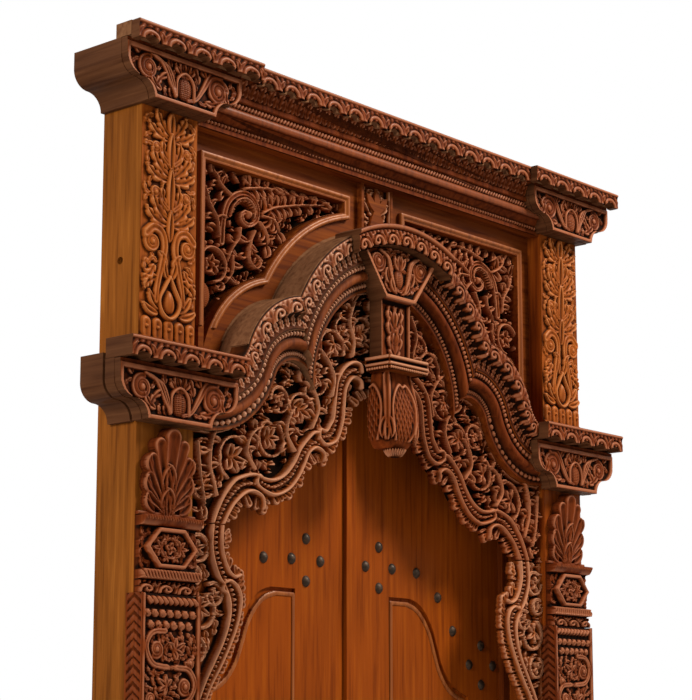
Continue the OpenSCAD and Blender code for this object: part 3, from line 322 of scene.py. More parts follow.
class Board:
    """A board under the chisel: a grid of points in mm, and how far the wood stands out at each."""

    def __init__(self, x0, x1, z0, z1, pitch):
        self.pitch = pitch
        self.nx = max(2, round((x1 - x0) / pitch))
        self.nz = max(2, round((z1 - z0) / pitch))
        self.xs = np.linspace(x0, x1, self.nx + 1)
        self.zs = np.linspace(z0, z1, self.nz + 1)
        self.x, self.z = np.meshgrid(self.xs, self.zs, indexing="ij")
        self.h = np.zeros_like(self.x)

    def window(self, x0, x1, z0, z1):
        """The grid's part between two pairs of places."""
        return slice(*np.searchsorted(self.xs, (x0, x1))), slice(*np.searchsorted(self.zs, (z0, z1)))

    def beside(self, path, reach):
        """The grid's part near a path: distance from it, share of its length and side of it."""
        low, high = path.min(0) - reach, path.max(0) + reach
        part = self.window(low[0], high[0], low[1], high[1])
        x, z = self.x[part], self.z[part]
        steps = np.diff(path, axis=0)
        lengths = np.hypot(*steps.T)
        starts = np.concatenate([[0], np.cumsum(lengths)])
        best = np.full(x.shape, 1e9)
        run = np.zeros(x.shape)
        side = np.zeros(x.shape)
        for a, step, length, start in zip(path[:-1], steps, lengths, starts):
            if length == 0 or x.size == 0:
                continue
            s = np.clip(((x - a[0]) * step[0] + (z - a[1]) * step[1]) / length ** 2, 0, 1)
            dx, dz = x - a[0] - s * step[0], z - a[1] - s * step[1]
            d = dx * dx + dz * dz
            nearer = d < best
            best = np.where(nearer, d, best)
            run = np.where(nearer, (start + s * length) / starts[-1], run)
            side = np.where(nearer, np.sign(step[0] * dz - step[1] * dx), side)
        return part, np.sqrt(best), run, side

    def raise_to(self, tall, part=...):
        """Leaves the wood standing at least so tall, on the whole board or on a part of it."""
        self.h[part] = np.maximum(self.h[part], tall)

    def stroke(self, points, wide, tall, form=round_form, ends=(1, 1), steps=8):
        """A carved stem along a curve; ends are the shares of its width at its two ends."""
        part, d, run, _ = self.beside(smooth_path(points, steps), wide)
        width = wide * (ends[0] + (ends[1] - ends[0]) * run)
        self.raise_to(tall * form(d / width), part)

    def roll(self, at, half, tall):
        """A round moulding across the whole board, at a height."""
        self.raise_to(tall * round_form((self.z - at) / half))

    def leaf(self, base, angle, length, wide, curl, tall, lobes=0):
        """A pointed leaf that leaves its base at an angle and curls as it runs out; lobes notch its edges."""
        count = 10
        turn = np.radians(angle + curl * (np.arange(count) / (count - 1)) ** 1.5)
        steps = np.c_[np.cos(turn), np.sin(turn)] * length / count
        path = np.vstack([[base], base + np.cumsum(steps, axis=0)])
        part, d, run, side = self.beside(path, 1.2 * wide)
        width = 2.6 * wide * run ** 0.6 * (1 - run) ** 0.8 + 0.01
        rise = 0.6 + 0.4 * run
        if lobes:
            notch = np.abs(np.cos(np.pi * (lobes * run - 0.6 * np.clip(d / wide, 0, 1))))
            width = width * (0.54 + 0.46 * notch)
            rise = rise * (0.72 + 0.28 * notch)
        outer = 1 - 0.2 * np.sign(curl) * side * np.clip(d / width, 0, 1)
        self.raise_to(tall * gouged_form(d / width) * outer * rise, part)

    def bead(self, x, z, radius, tall):
        part = self.window(x - radius, x + radius, z - radius, z + radius)
        self.raise_to(tall * round_form(np.hypot(self.x[part] - x, self.z[part] - z) / radius), part)

    def volute(self, x, z, radius, start, turns, hand, wide, tall):
        """A hollow band that winds in to a round eye."""
        t = np.linspace(0, 1, int(26 * turns))
        angle = np.radians(start + hand * 360 * turns * t)
        reach = (radius - wide) * (1 - 0.62 * t)
        path = np.c_[x + reach * np.cos(angle), z + reach * np.sin(angle)]
        part, d, run, _ = self.beside(path, wide)
        self.raise_to(tall * cupped_form(d / (wide * (1 - 0.4 * run))) * (0.8 + 0.2 * run), part)
        self.bead(x, z, 0.33 * radius, tall)

    def seed_cone(self, at, wide, high, tall, deep=0.28, origin=(0, 0)):
        """A domed oval, cut across by two sets of slanting lines that are counted from an origin."""
        u, v = self.x - origin[0], self.z - origin[1]
        dome = np.clip(1 - ((self.x - at[0]) / wide) ** 2 - ((self.z - at[1]) / high) ** 2, 0, 1)
        lines = np.cos((u + v) * 0.9) * np.cos((u - v) * 0.9)
        self.raise_to(tall * np.sqrt(dome) * (1 - deep + deep * lines))

    def flower(self, x, z, radius, petals, tall):
        for k in range(petals):
            self.leaf((x, z), 360 * k / petals + 20, radius, 0.5 * radius, 8, tall)
        self.bead(x, z, 0.32 * radius, tall)

    def palm(self, x, z, radius, heading, tall):
        """A leaf of five pointed lobes round one base."""
        turn = math.radians(heading)
        base = (x - 0.55 * radius * math.cos(turn), z - 0.55 * radius * math.sin(turn))
        for spread in (-84, 84, -42, 42, 0):
            length = radius * (1.5 - 0.007 * abs(spread))
            self.leaf(base, heading + spread, length, 0.3 * radius, 0.4 * spread, tall)

    def sprig(self, points, wide, tall, leaf_length, count, spread=55):
        """A stem with leaves on alternate sides and one at its tip."""
        self.stroke(points, wide, tall, ends=(1, 0.6))
        path = smooth_path(points)
        for k in range(count):
            at = int((k + 0.7) / (count + 0.3) * (len(path) - 2))
            heading = math.degrees(math.atan2(*(path[at + 1] - path[at])[::-1]))
            hand = 1 if k % 2 else -1
            grow = leaf_length * (1 - 0.35 * k / count)
            self.leaf(path[at], heading + hand * spread, grow, 0.3 * grow, hand * 70, tall)
        heading = math.degrees(math.atan2(*(path[-1] - path[-2])[::-1]))
        self.leaf(path[-1], heading, 0.9 * leaf_length, 0.28 * leaf_length, 50, tall)

    def fill(self, room, size, tall, centres, seed, bare=0.3):
        """Curled leaves, turned round the nearest centre, wherever the ground is still bare."""
        chance = np.random.default_rng(seed)
        half = 0.42 * size
        for x in np.arange(self.xs[0], self.xs[-1], 0.5 * size):
            for z in np.arange(self.zs[0], self.zs[-1], 0.5 * size):
                px, pz = x + half * chance.uniform(-1, 1), z + half * chance.uniform(-1, 1)
                lean, twist, rise = chance.uniform(-35, 35), chance.choice((-1, 1)), chance.uniform(0.7, 1)
                part = self.window(px - half, px + half, pz - half, pz + half)
                inside = room[part]
                if inside.size == 0 or inside.mean() < 0.75 or (self.h[part] > 0.25 * tall).mean() > bare:
                    continue
                cx, cz = min(centres, key=lambda c: (c[0] - px) ** 2 + (c[1] - pz) ** 2)
                angle = math.degrees(math.atan2(pz - cz, px - cx)) + 90 * twist + lean
                ahead = np.array((math.cos(math.radians(angle)), math.sin(math.radians(angle))))
                base = (px, pz) - 0.55 * size * ahead
                self.leaf(base, angle, size * 1.25, 0.26 * size, 70 * twist, tall * rise, 2)

    def sheet(self, place, sink, keep, mirrored, full):
        """The carved front as an open mesh, whose points keep their tone and the place of their back."""
        front = np.stack(place(self.x, self.z, self.h), -1) * mm
        rear = np.stack(place(self.x, self.z, np.full(self.x.shape, -float(sink))), -1) * mm
        if mirrored:
            front[..., 0] *= -1
            rear[..., 0] *= -1
        # The tone is low where the wood lies below its surroundings and high where it stands out; the carved
        # finishes paint shade and highlight from it.
        reach = max(2, round(5 / self.pitch))
        round_about = soften(soften(self.h, reach), reach)
        tone = np.clip(0.5 + 1.8 * (self.h - round_about) / (full or max(np.ptp(self.h), 1)), 0, 1)
        work = bmesh.new()
        bmesh.ops.create_grid(work, x_segments=self.nx, y_segments=self.nz, size=0.5)
        depth = work.verts.layers.float.new("depth")
        ends = work.verts.layers.float_vector.new("rear")
        drop = []
        for v in work.verts:
            i, j = round((v.co.x + 0.5) * self.nx), round((v.co.y + 0.5) * self.nz)
            v.co = front[i, j]
            v[ends] = rear[i, j]
            v[depth] = tone[i, j]
            if keep is not None and not keep[i, j]:
                drop.append(v)
        while drop:
            bmesh.ops.delete(work, geom=drop, context="VERTS")
            drop = [v for v in work.verts if not v.link_faces or sum(e.is_boundary for e in v.link_edges) > 2]
        return work

    def piece(self, name, place, sink, keep=None, mirrored=False, ease=3, flat=True, full=None,
              finish=None, ends_finish=None, body="frame", slot="carved_teak"):
        """The board as a closed solid: the carved front, its edges, and a back that lies sink deep.

        With no sink the sheet goes all the way round, and its two ends are capped."""
        work = self.sheet(place, sink or 0, keep, mirrored, full)
        bmesh.ops.remove_doubles(work, verts=[v for v in work.verts if v.is_boundary], dist=1e-6)
        rim = [v for v in work.verts if v.is_boundary]
        for _ in range(ease):
            bmesh.ops.smooth_vert(work, verts=rim, factor=0.5,
                                  use_axis_x=True, use_axis_y=True, use_axis_z=True)
        for f in work.faces:
            f.smooth = True
        border = [e for e in work.edges if e.is_boundary]
        for e in border:
            e.smooth = False
        if sink is None:
            bmesh.ops.holes_fill(work, edges=border, sides=0)
        else:
            close_behind(work, border, flat, 1 if ends_finish else 0)
        bmesh.ops.recalc_face_normals(work, faces=work.faces)
        work.verts.layers.float_vector.remove(work.verts.layers.float_vector["rear"])
        mesh = bpy.data.meshes.new(name)
        work.to_mesh(mesh)
        work.free()
        for material in (finish or carved, ends_finish):
            if material:
                mesh.materials.append(material)
        made = bpy.data.objects.new(name, mesh)
        bpy.context.collection.objects.link(made)
        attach(made, body)
        return made


def pair(board, name, place, sink, keep=None, node=None, finish=None, shaded_right_finish=None, **rest):
    """The left and the right piece of one carving; they stand for the two CAD nodes, where it has any."""
    # A second, darker finish for the right piece paints shade on it.
    for side, dressing in (("left_", finish), ("right_", shaded_right_finish or finish)):
        face = board.piece(side + name, place, sink, keep, side == "left_", finish=dressing, **rest)
        if node:
            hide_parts(side + node)


def flat_front(y):
    """Places a board's points in a plane of the front, with its carving towards -Y."""
    return lambda x, z, h: (x, y - h, z)


def on_post(low, *pairs, hand=1):
    """Points on the right-hand post: so far to one side of its middle, and so far above low."""
    return [(post_x + hand * a, low + b) for a, b in pairs]


def corbel_half(up, foot):
    """Half the width of an ogee corbel at a height above its foot."""
    r = (corbel_wide - foot) / 4
    low = corbel_wide / 2 - r - np.sqrt(np.clip(r * r - up * up, 0, None))
    high = corbel_wide / 2 - r + np.sqrt(np.clip(r * r - (up - 2 * r) ** 2, 0, None))
    return np.where(up < r, low, np.where(up < 2 * r, high, corbel_wide / 2))


def corbel_face(foot, tall, low):
    """The carving of one corbel, on its right-hand place."""
    board = Board(post_x - corbel_wide / 2, post_x + corbel_wide / 2, low, low + tall, 1.4)
    relief = 8
    u, v = board.x - post_x, board.z - low
    half = corbel_half(v, foot)
    inset = np.minimum(np.minimum(half - np.abs(u), v), tall - v - 8)
    room = inset > 10
    right_eye, left_eye = on_post(low, (90, 54), (-84, 50))
    board.volute(*right_eye, 27, 100, 1.6, -1, 7, relief)
    for k, lean in enumerate((0, 9, 18)):
        stem = on_post(low, (84 - lean, 80 - 0.3 * lean), (60 - lean, 72 - 0.4 * lean),
                       (40 - 0.6 * lean, 42), (24, 14 + 0.2 * k))
        board.stroke(stem, 3.6, relief, ends=(1, 0.5))
    board.volute(*left_eye, 32, 160, 1.6, -1, 9, relief)
    stem = on_post(low, (-90, 81), (-66, 76), (-46, 46), (-28, 22), (-8, 14))
    board.stroke(stem, 9, relief, cupped_form, ends=(1, 0.4))
    board.seed_cone((post_x, low + 34), 19, 24, relief * 1.1, origin=(post_x, low))
    board.stroke(on_post(low, (-22, 16), (-20, 48), (0, 63), (20, 48), (22, 16)), 3.4, relief)
    for angle, length in ((25, 34), (55, 36), (90, 30), (125, 36), (155, 34)):
        board.leaf((post_x, low + 56), angle, length, 8, 50 if angle < 90 else -50, relief, 2)
    for a, b, angle, length, curl in (
            (70, 26, 120, 46, 60), (-52, 70, 60, 40, -80), (56, 20, 20, 40, 60), (-52, 24, 190, 44, -60),
            (112, 74, 60, 30, 60), (-34, 52, 80, 40, -60), (-112, 30, 60, 36, 40), (34, 66, 70, 30, 60)):
        board.leaf((post_x + a, low + b), angle, length, 9, curl, relief, 2)
    board.fill(room, 20, 0.85 * relief, [right_eye, left_eye, (post_x, low + 40)], 3)
    board.h = np.where(room, board.h, 0)
    board.raise_to(relief * flat_form(np.abs(inset - 4) / 6))
    board.raise_to(np.where(tall - v < 9, 0.7 * relief, 0))
    return board, (half - np.abs(u)) >= 0


for name, low, tall, foot, ground in (("block_face", block_low, block_tall, block_foot, -84),
                                      ("capital_face", capital_low, capital_tall, capital_foot, -82)):
    board, keep = corbel_face(foot, tall, low)
    pair(board, name + "_carving", flat_front(ground), 8.8, keep, name, carved_dark, ends_finish=stained)

# Upper pilaster boards: carved teak boards on the posts, from the capital's top to the end block.
# From a plain plinth rise a row of petals, a cup, paired S-shaped stems that curl into volutes, and leaves.
# They are glued and nailed to the post's front.
spring = 2113
post_front = -50
carved_gold = carved_finish("carved_gold_teak", (0.42, 0.1, 0.013), (0.32, 0.07, 0.008),
                            (0.19, 0.037, 0.004), (0.52, 0.17, 0.045), (0.03, 0.006, 0.0012))


def upper_pilaster():
    low = spring
    board = Board(bay, bay + post_w, low, block_low, 1.5)
    relief = 9
    u, v = board.x - post_x, board.z - low
    for k in range(-2, 3):
        board.stroke(on_post(low, (27 * k, 22), (27 * k, 42)), 13, 0.8 * relief, cupped_form)
        board.bead(post_x + 27 * k, low + 36, 4, relief)
    for hand in (-1, 1):
        stem = on_post(low, (33, 84), (30, 112), (20, 152), (13, 186), (20, 210), (40, 217), (58, 203),
                       hand=hand)
        board.stroke(stem, 10.5, relief, cupped_form, ends=(0.6, 1))
        board.volute(post_x + hand * 43, low + 190, 22, 90 - hand * 40, 1.5, -hand, 7, relief)
        for a, b, angle, length, wide, curl in (
                (26, 62, 4, 44, 9, 50), (24, 70, 36, 44, 9, 40), (30, 128, -18, 44, 12, -60),
                (36, 150, -60, 52, 12, 50), (8, 150, 66, 34, 8, -40), (4, 128, 60, 34, 8, 40),
                (8, 226, 10, 62, 13, 50), (6, 232, 36, 66, 14, 40), (6, 244, 60, 60, 12, 40),
                (8, 308, 6, 60, 13, 50), (6, 316, 34, 66, 14, 40), (6, 330, 60, 60, 12, 40),
                (8, 384, 14, 58, 13, 40), (6, 392, 44, 56, 13, 30)):
            board.leaf((post_x + hand * a, low + b), 90 - hand * (90 - angle), length, wide, hand * curl,
                       relief, 3 if wide > 10 else 0)
        for lift, size in ((282, 17), (366, 15)):
            board.volute(post_x + hand * 38, low + lift, size, 90 - hand * 140, 1.4, -hand, 0.34 * size,
                         relief)
            stem = on_post(low, (8, lift - 26), (22, lift - 14), (38 - 0.7 * size, lift - 2), hand=hand)
            board.stroke(stem, 5, relief, cupped_form)
    for base, length, wide in ((196, 60, 11), (250, 84, 13), (330, 70, 13), (392, 46, 12)):
        board.leaf((post_x, low + base), 90, length, wide, 0.1, 1.1 * relief)
    cup = on_post(low, (0, 132), (-12, 112), (-25, 88), (-18, 66), (0, 56), (18, 66), (25, 88), (12, 112),
                  (0, 132))
    board.stroke(cup, 4.6, relief)
    seed = np.hypot(u / (14 - 0.2 * (v - 84)), (v - 86) / 22)
    board.raise_to(relief * round_form(seed))
    room = (np.abs(u) < post_w / 2 - 3) & (v > 56) & (v < 436)
    board.fill(room, 22, 0.7 * relief, [(post_x, low + up) for up in (100, 220, 330)], 5, 0.2)
    board.h = board.h * np.clip((post_w / 2 - 1.5 - np.abs(u)) / 5, 0, 1)
    board.roll(low + 8, 11, relief)
    return board


pair(upper_pilaster(), "upper_pilaster_carving", flat_front(post_front - 1), 0.8, None, "upper_pilaster",
     carved_gold)

# Leaf consoles: one big acanthus leaf of teak under each capital, leaning out towards its top.
# It is cut from a solid block, hollowed with a gouge, with curled lobes down its sides.
console_low = 1814


def scoop_form(r):
    """A gouged lobe: deep in the middle, with a thin raised rim."""
    return np.clip(3.2 * (1 - r), 0, 1) * (0.3 + 0.7 * np.clip(r, 0, 1) ** 1.6)


def leaf_console():
    low = console_low
    board = Board(bay, bay + post_w, low, capital_low, 1.5)
    for hand in (-1, 1):
        for a, b, angle, length in ((30, 8, 30, 40), (38, 40, 40, 36), (40, 76, 46, 34)):
            board.leaf((post_x + hand * a, low + b), 90 - hand * (90 - angle), length, 12, hand * 70, 10)
        for a, b, wide in ((46, 34, 11), (47, 66, 13), (43, 98, 14), (28, 124, 16)):
            lobe = on_post(low, (5, 4), (0.42 * a, 0.5 * b), (0.8 * a, 0.82 * b), (a, b), hand=hand)
            board.stroke(lobe, wide, 12, scoop_form, ends=(0.3, 1))
    board.stroke(on_post(low, (0, 4), (0, 70), (0, 138)), 22, 14, scoop_form, ends=(0.25, 1))
    for lift, size in ((44, 40), (82, 44)):
        board.leaf((post_x - 10, low + lift - 26), 80, size, 10, -50, 13)
        board.leaf((post_x + 14, low + lift - 30), 96, size, 9, 40, 12)
    board.raise_to(5 * flat_form(np.abs(board.z - low - 4) / 5))
    return board


def leaning(x, z, h):
    """Places the leaf on the post's front, further out towards its top."""
    lean = 4 + 16 * np.clip((z - console_low) / (capital_low - console_low), 0, 1) ** 1.6
    return x, post_front - np.where(h > -0.5, lean, 0) - h, z


board = leaf_console()
pair(board, "leaf_console_carving", leaning, 1, board.h > 1.5, "leaf_console", carved_dark)

# Boss blocks: a ledge, a six-sided boss framed by a fillet, a fluted strip and a lotus row.
# Each is carved from one block of teak, and planted on the post under the console.
boss_low = 1680


def running_scroll(board, closed, open_side, pitch, tall, start=0.0):
    """A chain of waves: each a deep arched scoop, dark with painted shade, open to one side of the strip,
    with a curl in it.
    """
    size = closed - open_side
    band = (board.z - open_side) / size
    strip = (band > 0) & (band < 1)
    along = (board.x - board.xs[0] - start) / pitch
    unit = along - np.floor(along) - 0.5
    scoop = np.hypot((unit - 0.06 * band) / 0.41, band / 0.86)
    level = np.where(scoop < 1, 0.04, 0.62 + 0.14 * np.cos(8 * np.pi * (along + 0.2 * band)))
    board.h = np.where(strip, np.maximum(board.h, tall * level), board.h)
    turn = math.copysign(90, size)
    curl_shares = ((0.84, 0.02), (0.79, 0.34), (0.6, 0.58), (0.36, 0.52), (0.26, 0.28), (0.38, 0.12),
                   (0.53, 0.2), (0.52, 0.36))
    for s in np.arange(board.xs[0] + start - pitch, board.xs[-1] + pitch, pitch):
        for lean in (-1, 1):
            board.leaf((s, open_side + 0.2 * size), turn - 26 * lean, 0.8 * abs(size), 0.1 * pitch,
                       -30 * lean, tall)
        curl = [(s + a * pitch, open_side + b * size) for a, b in curl_shares]
        board.stroke(curl, 0.1 * pitch, 0.9 * tall, ends=(1.1, 0.8), steps=4)


def boss_block():
    low, high = boss_low, console_low
    board, inner, corner = (Board(bay, bay + post_w, low, high, 1.4) for _ in range(3))
    u, v = board.x - post_x, board.z - low
    middle, flutes_low, flutes_high, ledge = 79, 24, 40, 116
    boss = post_x, low + middle
    hexagon = np.maximum(np.abs(v - middle) - 36, np.abs(u) + 0.9 * np.abs(v - middle) - 62)
    for hand in (-1, 1):
        inner.palm(post_x + hand * 28, low + middle, 15, 90 - hand * 90, 9)
        for lift in (-1, 1):
            inner.palm(post_x + hand * 12, low + middle + lift * 17, 11, lift * (90 - hand * 40), 9)
    inner.flower(*boss, 12, 4, 9)
    inner.fill(hexagon < -10, 14, 7, [boss], 4)
    corner.fill((hexagon > 3) & (v > 42) & (v < ledge), 18, 6, [boss], 9)
    board.h = 10 + np.where(hexagon > 0, corner.h, 16 * np.clip(-hexagon / 2, 0, 1))
    board.h = np.where(hexagon < -8, 14 + inner.h, board.h)
    slope = np.clip((v - flutes_low) / (flutes_high - flutes_low), 0, 1)
    board.h = np.where((v > flutes_low) & (v < flutes_high), 27 - 10 * slope, board.h)
    for k in range(-9, 10):
        board.stroke(on_post(low, (7.6 * k - 3, 25), (7.6 * k + 3, 39)), 3.2, 28)
    board.h = np.where(v < flutes_low, 8, board.h)
    running_scroll(board, low + 21, low + 1, 46, 24, 8)
    board.h = np.where(v > ledge, 30 - 9 * np.clip((130 - v) / 14, 0, 1) ** 1.4, board.h)
    for k in range(-11, 12):
        board.stroke(on_post(high, (6.1 * k - 2, -7), (6.1 * k + 2, -1)), 2.6, 31.5)
    return board


pair(boss_block(), "boss_block_carving", flat_front(post_front), 0, None, "boss_block", carved_dark, full=14)

# Shafts: long carved teak boards on the posts below, with a climbing chain of scrolls and leaves
# between plain edges, and a zigzag down their sides.
# They stand on a plain base, and are glued and nailed to the post.
base_top = 170


def shaft():
    high = boss_low
    board = Board(bay, bay + post_w, 0, high, 1.9)
    u, v = board.x - post_x, board.z
    relief, step, edge = 10, 62, 6
    first = high - 96
    for k in range(23):
        z = first - step * k
        hand = 1 if k % 2 else -1
        board.volute(post_x - hand * 34, z, 19, 90 + hand * 150, 1.5, hand, 6, relief)
        stem = on_post(z, (14, 32), (44, 28), (58, 4), (42, -24), (8, -30), hand=-hand)
        board.stroke(stem, 5.5, relief, cupped_form)
        board.palm(post_x + hand * 16, z + 4, 19, 90 - hand * 60, relief)
        board.volute(post_x + hand * 46, z - 22, 13, 0, 1.3, hand, 4.5, relief)
    for s in np.arange(bay + 12, bay + post_w - 6, 12):
        board.stroke([(s - 3, high - 15), (s + 3, high - 9)], 4.6, relief, steps=2)
    for row, shift in ((33, 0), (53, 9)):
        for s in np.arange(bay + 17 + shift, bay + post_w - 10, 18):
            board.volute(s, high - row, 9.5, 200, 1.2, 1, 3.2, relief)
    room = (np.abs(u) < post_w / 2 - edge) & (v > base_top + 4)
    centres = [(post_x, first - 2 * step * k) for k in range(12)]
    board.fill(room & (v < high - 66), 17, 0.85 * relief, centres, 6)
    board.h = 18 + np.where(room, board.h, 0)
    board.raise_to(np.where(np.abs(u) > post_w / 2 - edge, 25, 0))
    board.h = np.where(v < base_top, 29, board.h)
    return board


def chevron_strip():
    """The side of a shaft: a zigzag of cut lines between two plain edges."""
    half, pitch = 20, 30
    board = Board(-half, half, base_top, boss_low, 1.7)
    phase = (board.z / pitch + np.abs(board.x) / half * 0.5) % 1
    raised = (np.abs(board.x) > half - 2) | (phase < 0.3) | ((phase > 0.45) & (phase < 0.75))
    board.h = np.where(raised, 2, 0.1)
    return board


def beside_shaft(edge, hand):
    """Places a strip on one side of the shaft, with its carving outwards."""
    return lambda t, z, h: (edge + hand * h, post_front - 4 + t, z)


pair(shaft(), "shaft_carving", flat_front(post_front), 0, None, "shaft", carved_dark, full=9)
board = chevron_strip()
for side in ("left_", "right_"):
    for name, edge, hand in (("inner", bay, -1), ("outer", bay + post_w, 1)):
        board.piece(f"{side}shaft_{name}_side", beside_shaft(edge, hand), 1, None, side == "left_",
                    flat=False, ease=0, full=9, finish=carved_dark)

# Spandrel and side frets: pierced teak panels under the arch and down the posts, each sawn from one board.
# A double fillet with beads runs along the scalloped inner edge; behind it stems curl into rings with leaves.
# They are glued in under the arch and against the posts.
top_c, side_c, foot_c = (0, 2108), (270, 2085), (500.2, 2168.8)
top_r, side_r, foot_r, arch_w = 335, 179, 66, 119.5
cusp, waist = (297.4, 2262.2), (212.8, 2089.9)
seam, fret_low = 1815, 1400
fret_back, fret_tall = -25, 24
carved_brown = carved_finish("carved_brown_teak", (0.26, 0.053, 0.0095), (0.195, 0.035, 0.006),
                             (0.105, 0.0175, 0.0032), (0.48, 0.165, 0.07), hollow_shade)
spandrel_edge = smooth_path([(bay * a, spring - (spring - seam) * b) for a, b in (
    (0, 0.07), (0.11, 0.08), (0.155, 0.17), (0.185, 0.3), (0.225, 0.38), (0.272, 0.463), (0.316, 0.544),
    (0.375, 0.56), (0.415, 0.64), (0.435, 0.7), (0.475, 0.76), (0.51, 0.81), (0.585, 0.85), (0.625, 0.905),
    (0.667, 0.9), (0.7, 0.875), (0.735, 0.905), (0.765, 0.955), (0.79, 1))])
side_edge = smooth_path([(bay * a, seam - (seam - fret_low) * b) for a, b in (
    (0.79, 0), (0.785, 0.06), (0.795, 0.11), (0.765, 0.155), (0.725, 0.19), (0.718, 0.24), (0.712, 0.3),
    (0.72, 0.38), (0.738, 0.465), (0.762, 0.53), (0.797, 0.607), (0.834, 0.675), (0.87, 0.745), (0.91, 0.84),
    (0.95, 0.92), (0.985, 1))])
spandrel_bands = (
    ([(480, 1815), (468, 1842), (450, 1871), (423, 1899), (395, 1911), (371, 1916), (356, 1912)],
     [(454, 1815), (440, 1838), (423, 1859), (395, 1880), (371, 1885), (350, 1876), (344, 1856)]),
    ([(366, 1902), (360, 1916), (347, 1911), (318, 1911), (289, 1924), (264, 1950), (245, 1980), (212, 2011),
      (196, 2016)],
     [(366, 1906), (361, 1896), (342, 1888), (313, 1884), (279, 1898), (254, 1922), (237, 1948), (222, 1974),
      (200, 1986), (180, 1978), (178, 1964)]),
    ([(194, 2004), (190, 2022), (174, 2021), (164, 2032), (153, 2050), (147, 2091), (140, 2125), (119, 2153),
      (92, 2168), (71, 2166), (66, 2152)],
     [(194, 2020), (192, 2006), (174, 1995), (150, 2002), (137, 2017), (125, 2050), (121, 2085), (117, 2110),
      (104, 2130), (87, 2139), (70, 2134), (66, 2120)]))
side_fillets = (
    [(479, 1815), (482, 1779), (476, 1750), (463, 1723), (447, 1704), (434, 1677), (436, 1643), (452, 1603),
     (474, 1567), (496, 1531), (514, 1492), (526, 1450), (531, 1404)],
    [(454, 1815), (456, 1781), (449, 1755), (436, 1733), (420, 1724), (406, 1728)],
    [(446, 1716), (452, 1700), (440, 1690), (434, 1664), (440, 1630)],
    [(446, 1712), (432, 1716), (414, 1706), (405, 1686), (408, 1660), (418, 1630), (436, 1595), (458, 1559),
     (482, 1524), (500, 1486), (512, 1446), (518, 1404)])
side_beads = [(467, 1815), (469, 1780), (462, 1752), (449, 1728), (430, 1704), (420, 1682), (423, 1650),
              (437, 1612), (458, 1575), (482, 1537), (503, 1492), (519, 1448), (525, 1404)]


def reach_from(centre, x, z):
    """How far points lie from a lobe's centre."""
    return np.hypot(x - centre[0], z - centre[1])


def beside_mitre(x, z):
    """Above zero on the top lobe's side of the mitre, and below zero on the side lobe's."""
    return (cusp[0] - waist[0]) * (z - waist[1]) - (cusp[1] - waist[1]) * (x - waist[0])


def under_arch(x, z):
    """True in the space inside the arch's mouldings."""
    def line(a, b):
        return a[1] + (b[1] - a[1]) / (b[0] - a[0]) * (x - a[0])

    by_top = beside_mitre(x, z) > 0
    top = (reach_from(top_c, x, z) < top_r - arch_w) & by_top & (z > waist[1])
    side = (reach_from(side_c, x, z) < side_r - arch_w) & ~by_top
    below = np.where(x < waist[0], z <= waist[1],
                     np.where(x < side_c[0], z <= line(waist, side_c), z < line(side_c, foot_c)))
    return top | side | (below & (reach_from(foot_c, x, z) >= foot_r + arch_w))


def gone_along(path):
    """How far along a path each of its points lies."""
    return np.concatenate([[0], np.cumsum(np.hypot(*np.diff(path, axis=0).T))])


def walk(path, s):
    """The point that lies so far along a path."""
    gone = gone_along(path)
    return np.interp(s, gone, path[:, 0]), np.interp(s, gone, path[:, 1])


def beaded_band(board, points, tall, size=4.5):
    """A row of beads, big and small in turn, along the hollow between two fillets."""
    path = smooth_path(points, 14)
    part, d, _, _ = board.beside(path, 3 * size)
    board.raise_to(0.42 * tall * (d < 2.2 * size), part)
    for k, s in enumerate(np.arange(size, gone_along(path)[-1], 2.1 * size)):
        board.bead(*walk(path, s), size * (1 if k % 2 else 0.7), 0.95 * tall)


def fringe(board, edge, tall, reach=26, deep=1.0):
    """A row of lobes along an edge, inside it: a small one, a middling one and a big one in turn."""
    lobes = ((5.5, 8), (7, 4), (9.5, 0))
    end = gone_along(edge)[-1]
    s, k = 6.0, 0
    while s < end:
        wide, drop = lobes[k % 3]
        tip = deep * drop + wide
        (x, z), ahead = walk(edge, s), walk(edge, s + 2)
        dx, dz = ahead[0] - x, ahead[1] - z
        nx, nz = -dz / math.hypot(dx, dz), dx / math.hypot(dx, dz)
        inner = (x + nx * reach + 0.3 * reach * nz, z + nz * reach - 0.3 * reach * nx)
        board.stroke([inner, (x + nx * tip, z + nz * tip)], wide, tall, cupped_form, ends=(0.7, 1))
        s += (1.4 + 0.5 * deep) * wide
        k += 1


def ring(x, z, radius, angles):
    """Points round a centre, at the given angles in radians."""
    return [(x + radius * math.cos(a), z + radius * math.sin(a)) for a in angles]


def leafy_ring(board, x, z, radius, start, hand, heading):
    """A stem curled into a ring, with a palm leaf in it."""
    stem = ring(x, z, radius, start + hand * np.linspace(0, 5.2, 12))
    board.stroke(stem, 4.2, fret_tall, cupped_form, ends=(1, 0.6))
    board.palm(x, z, 0.72 * radius, heading, fret_tall)


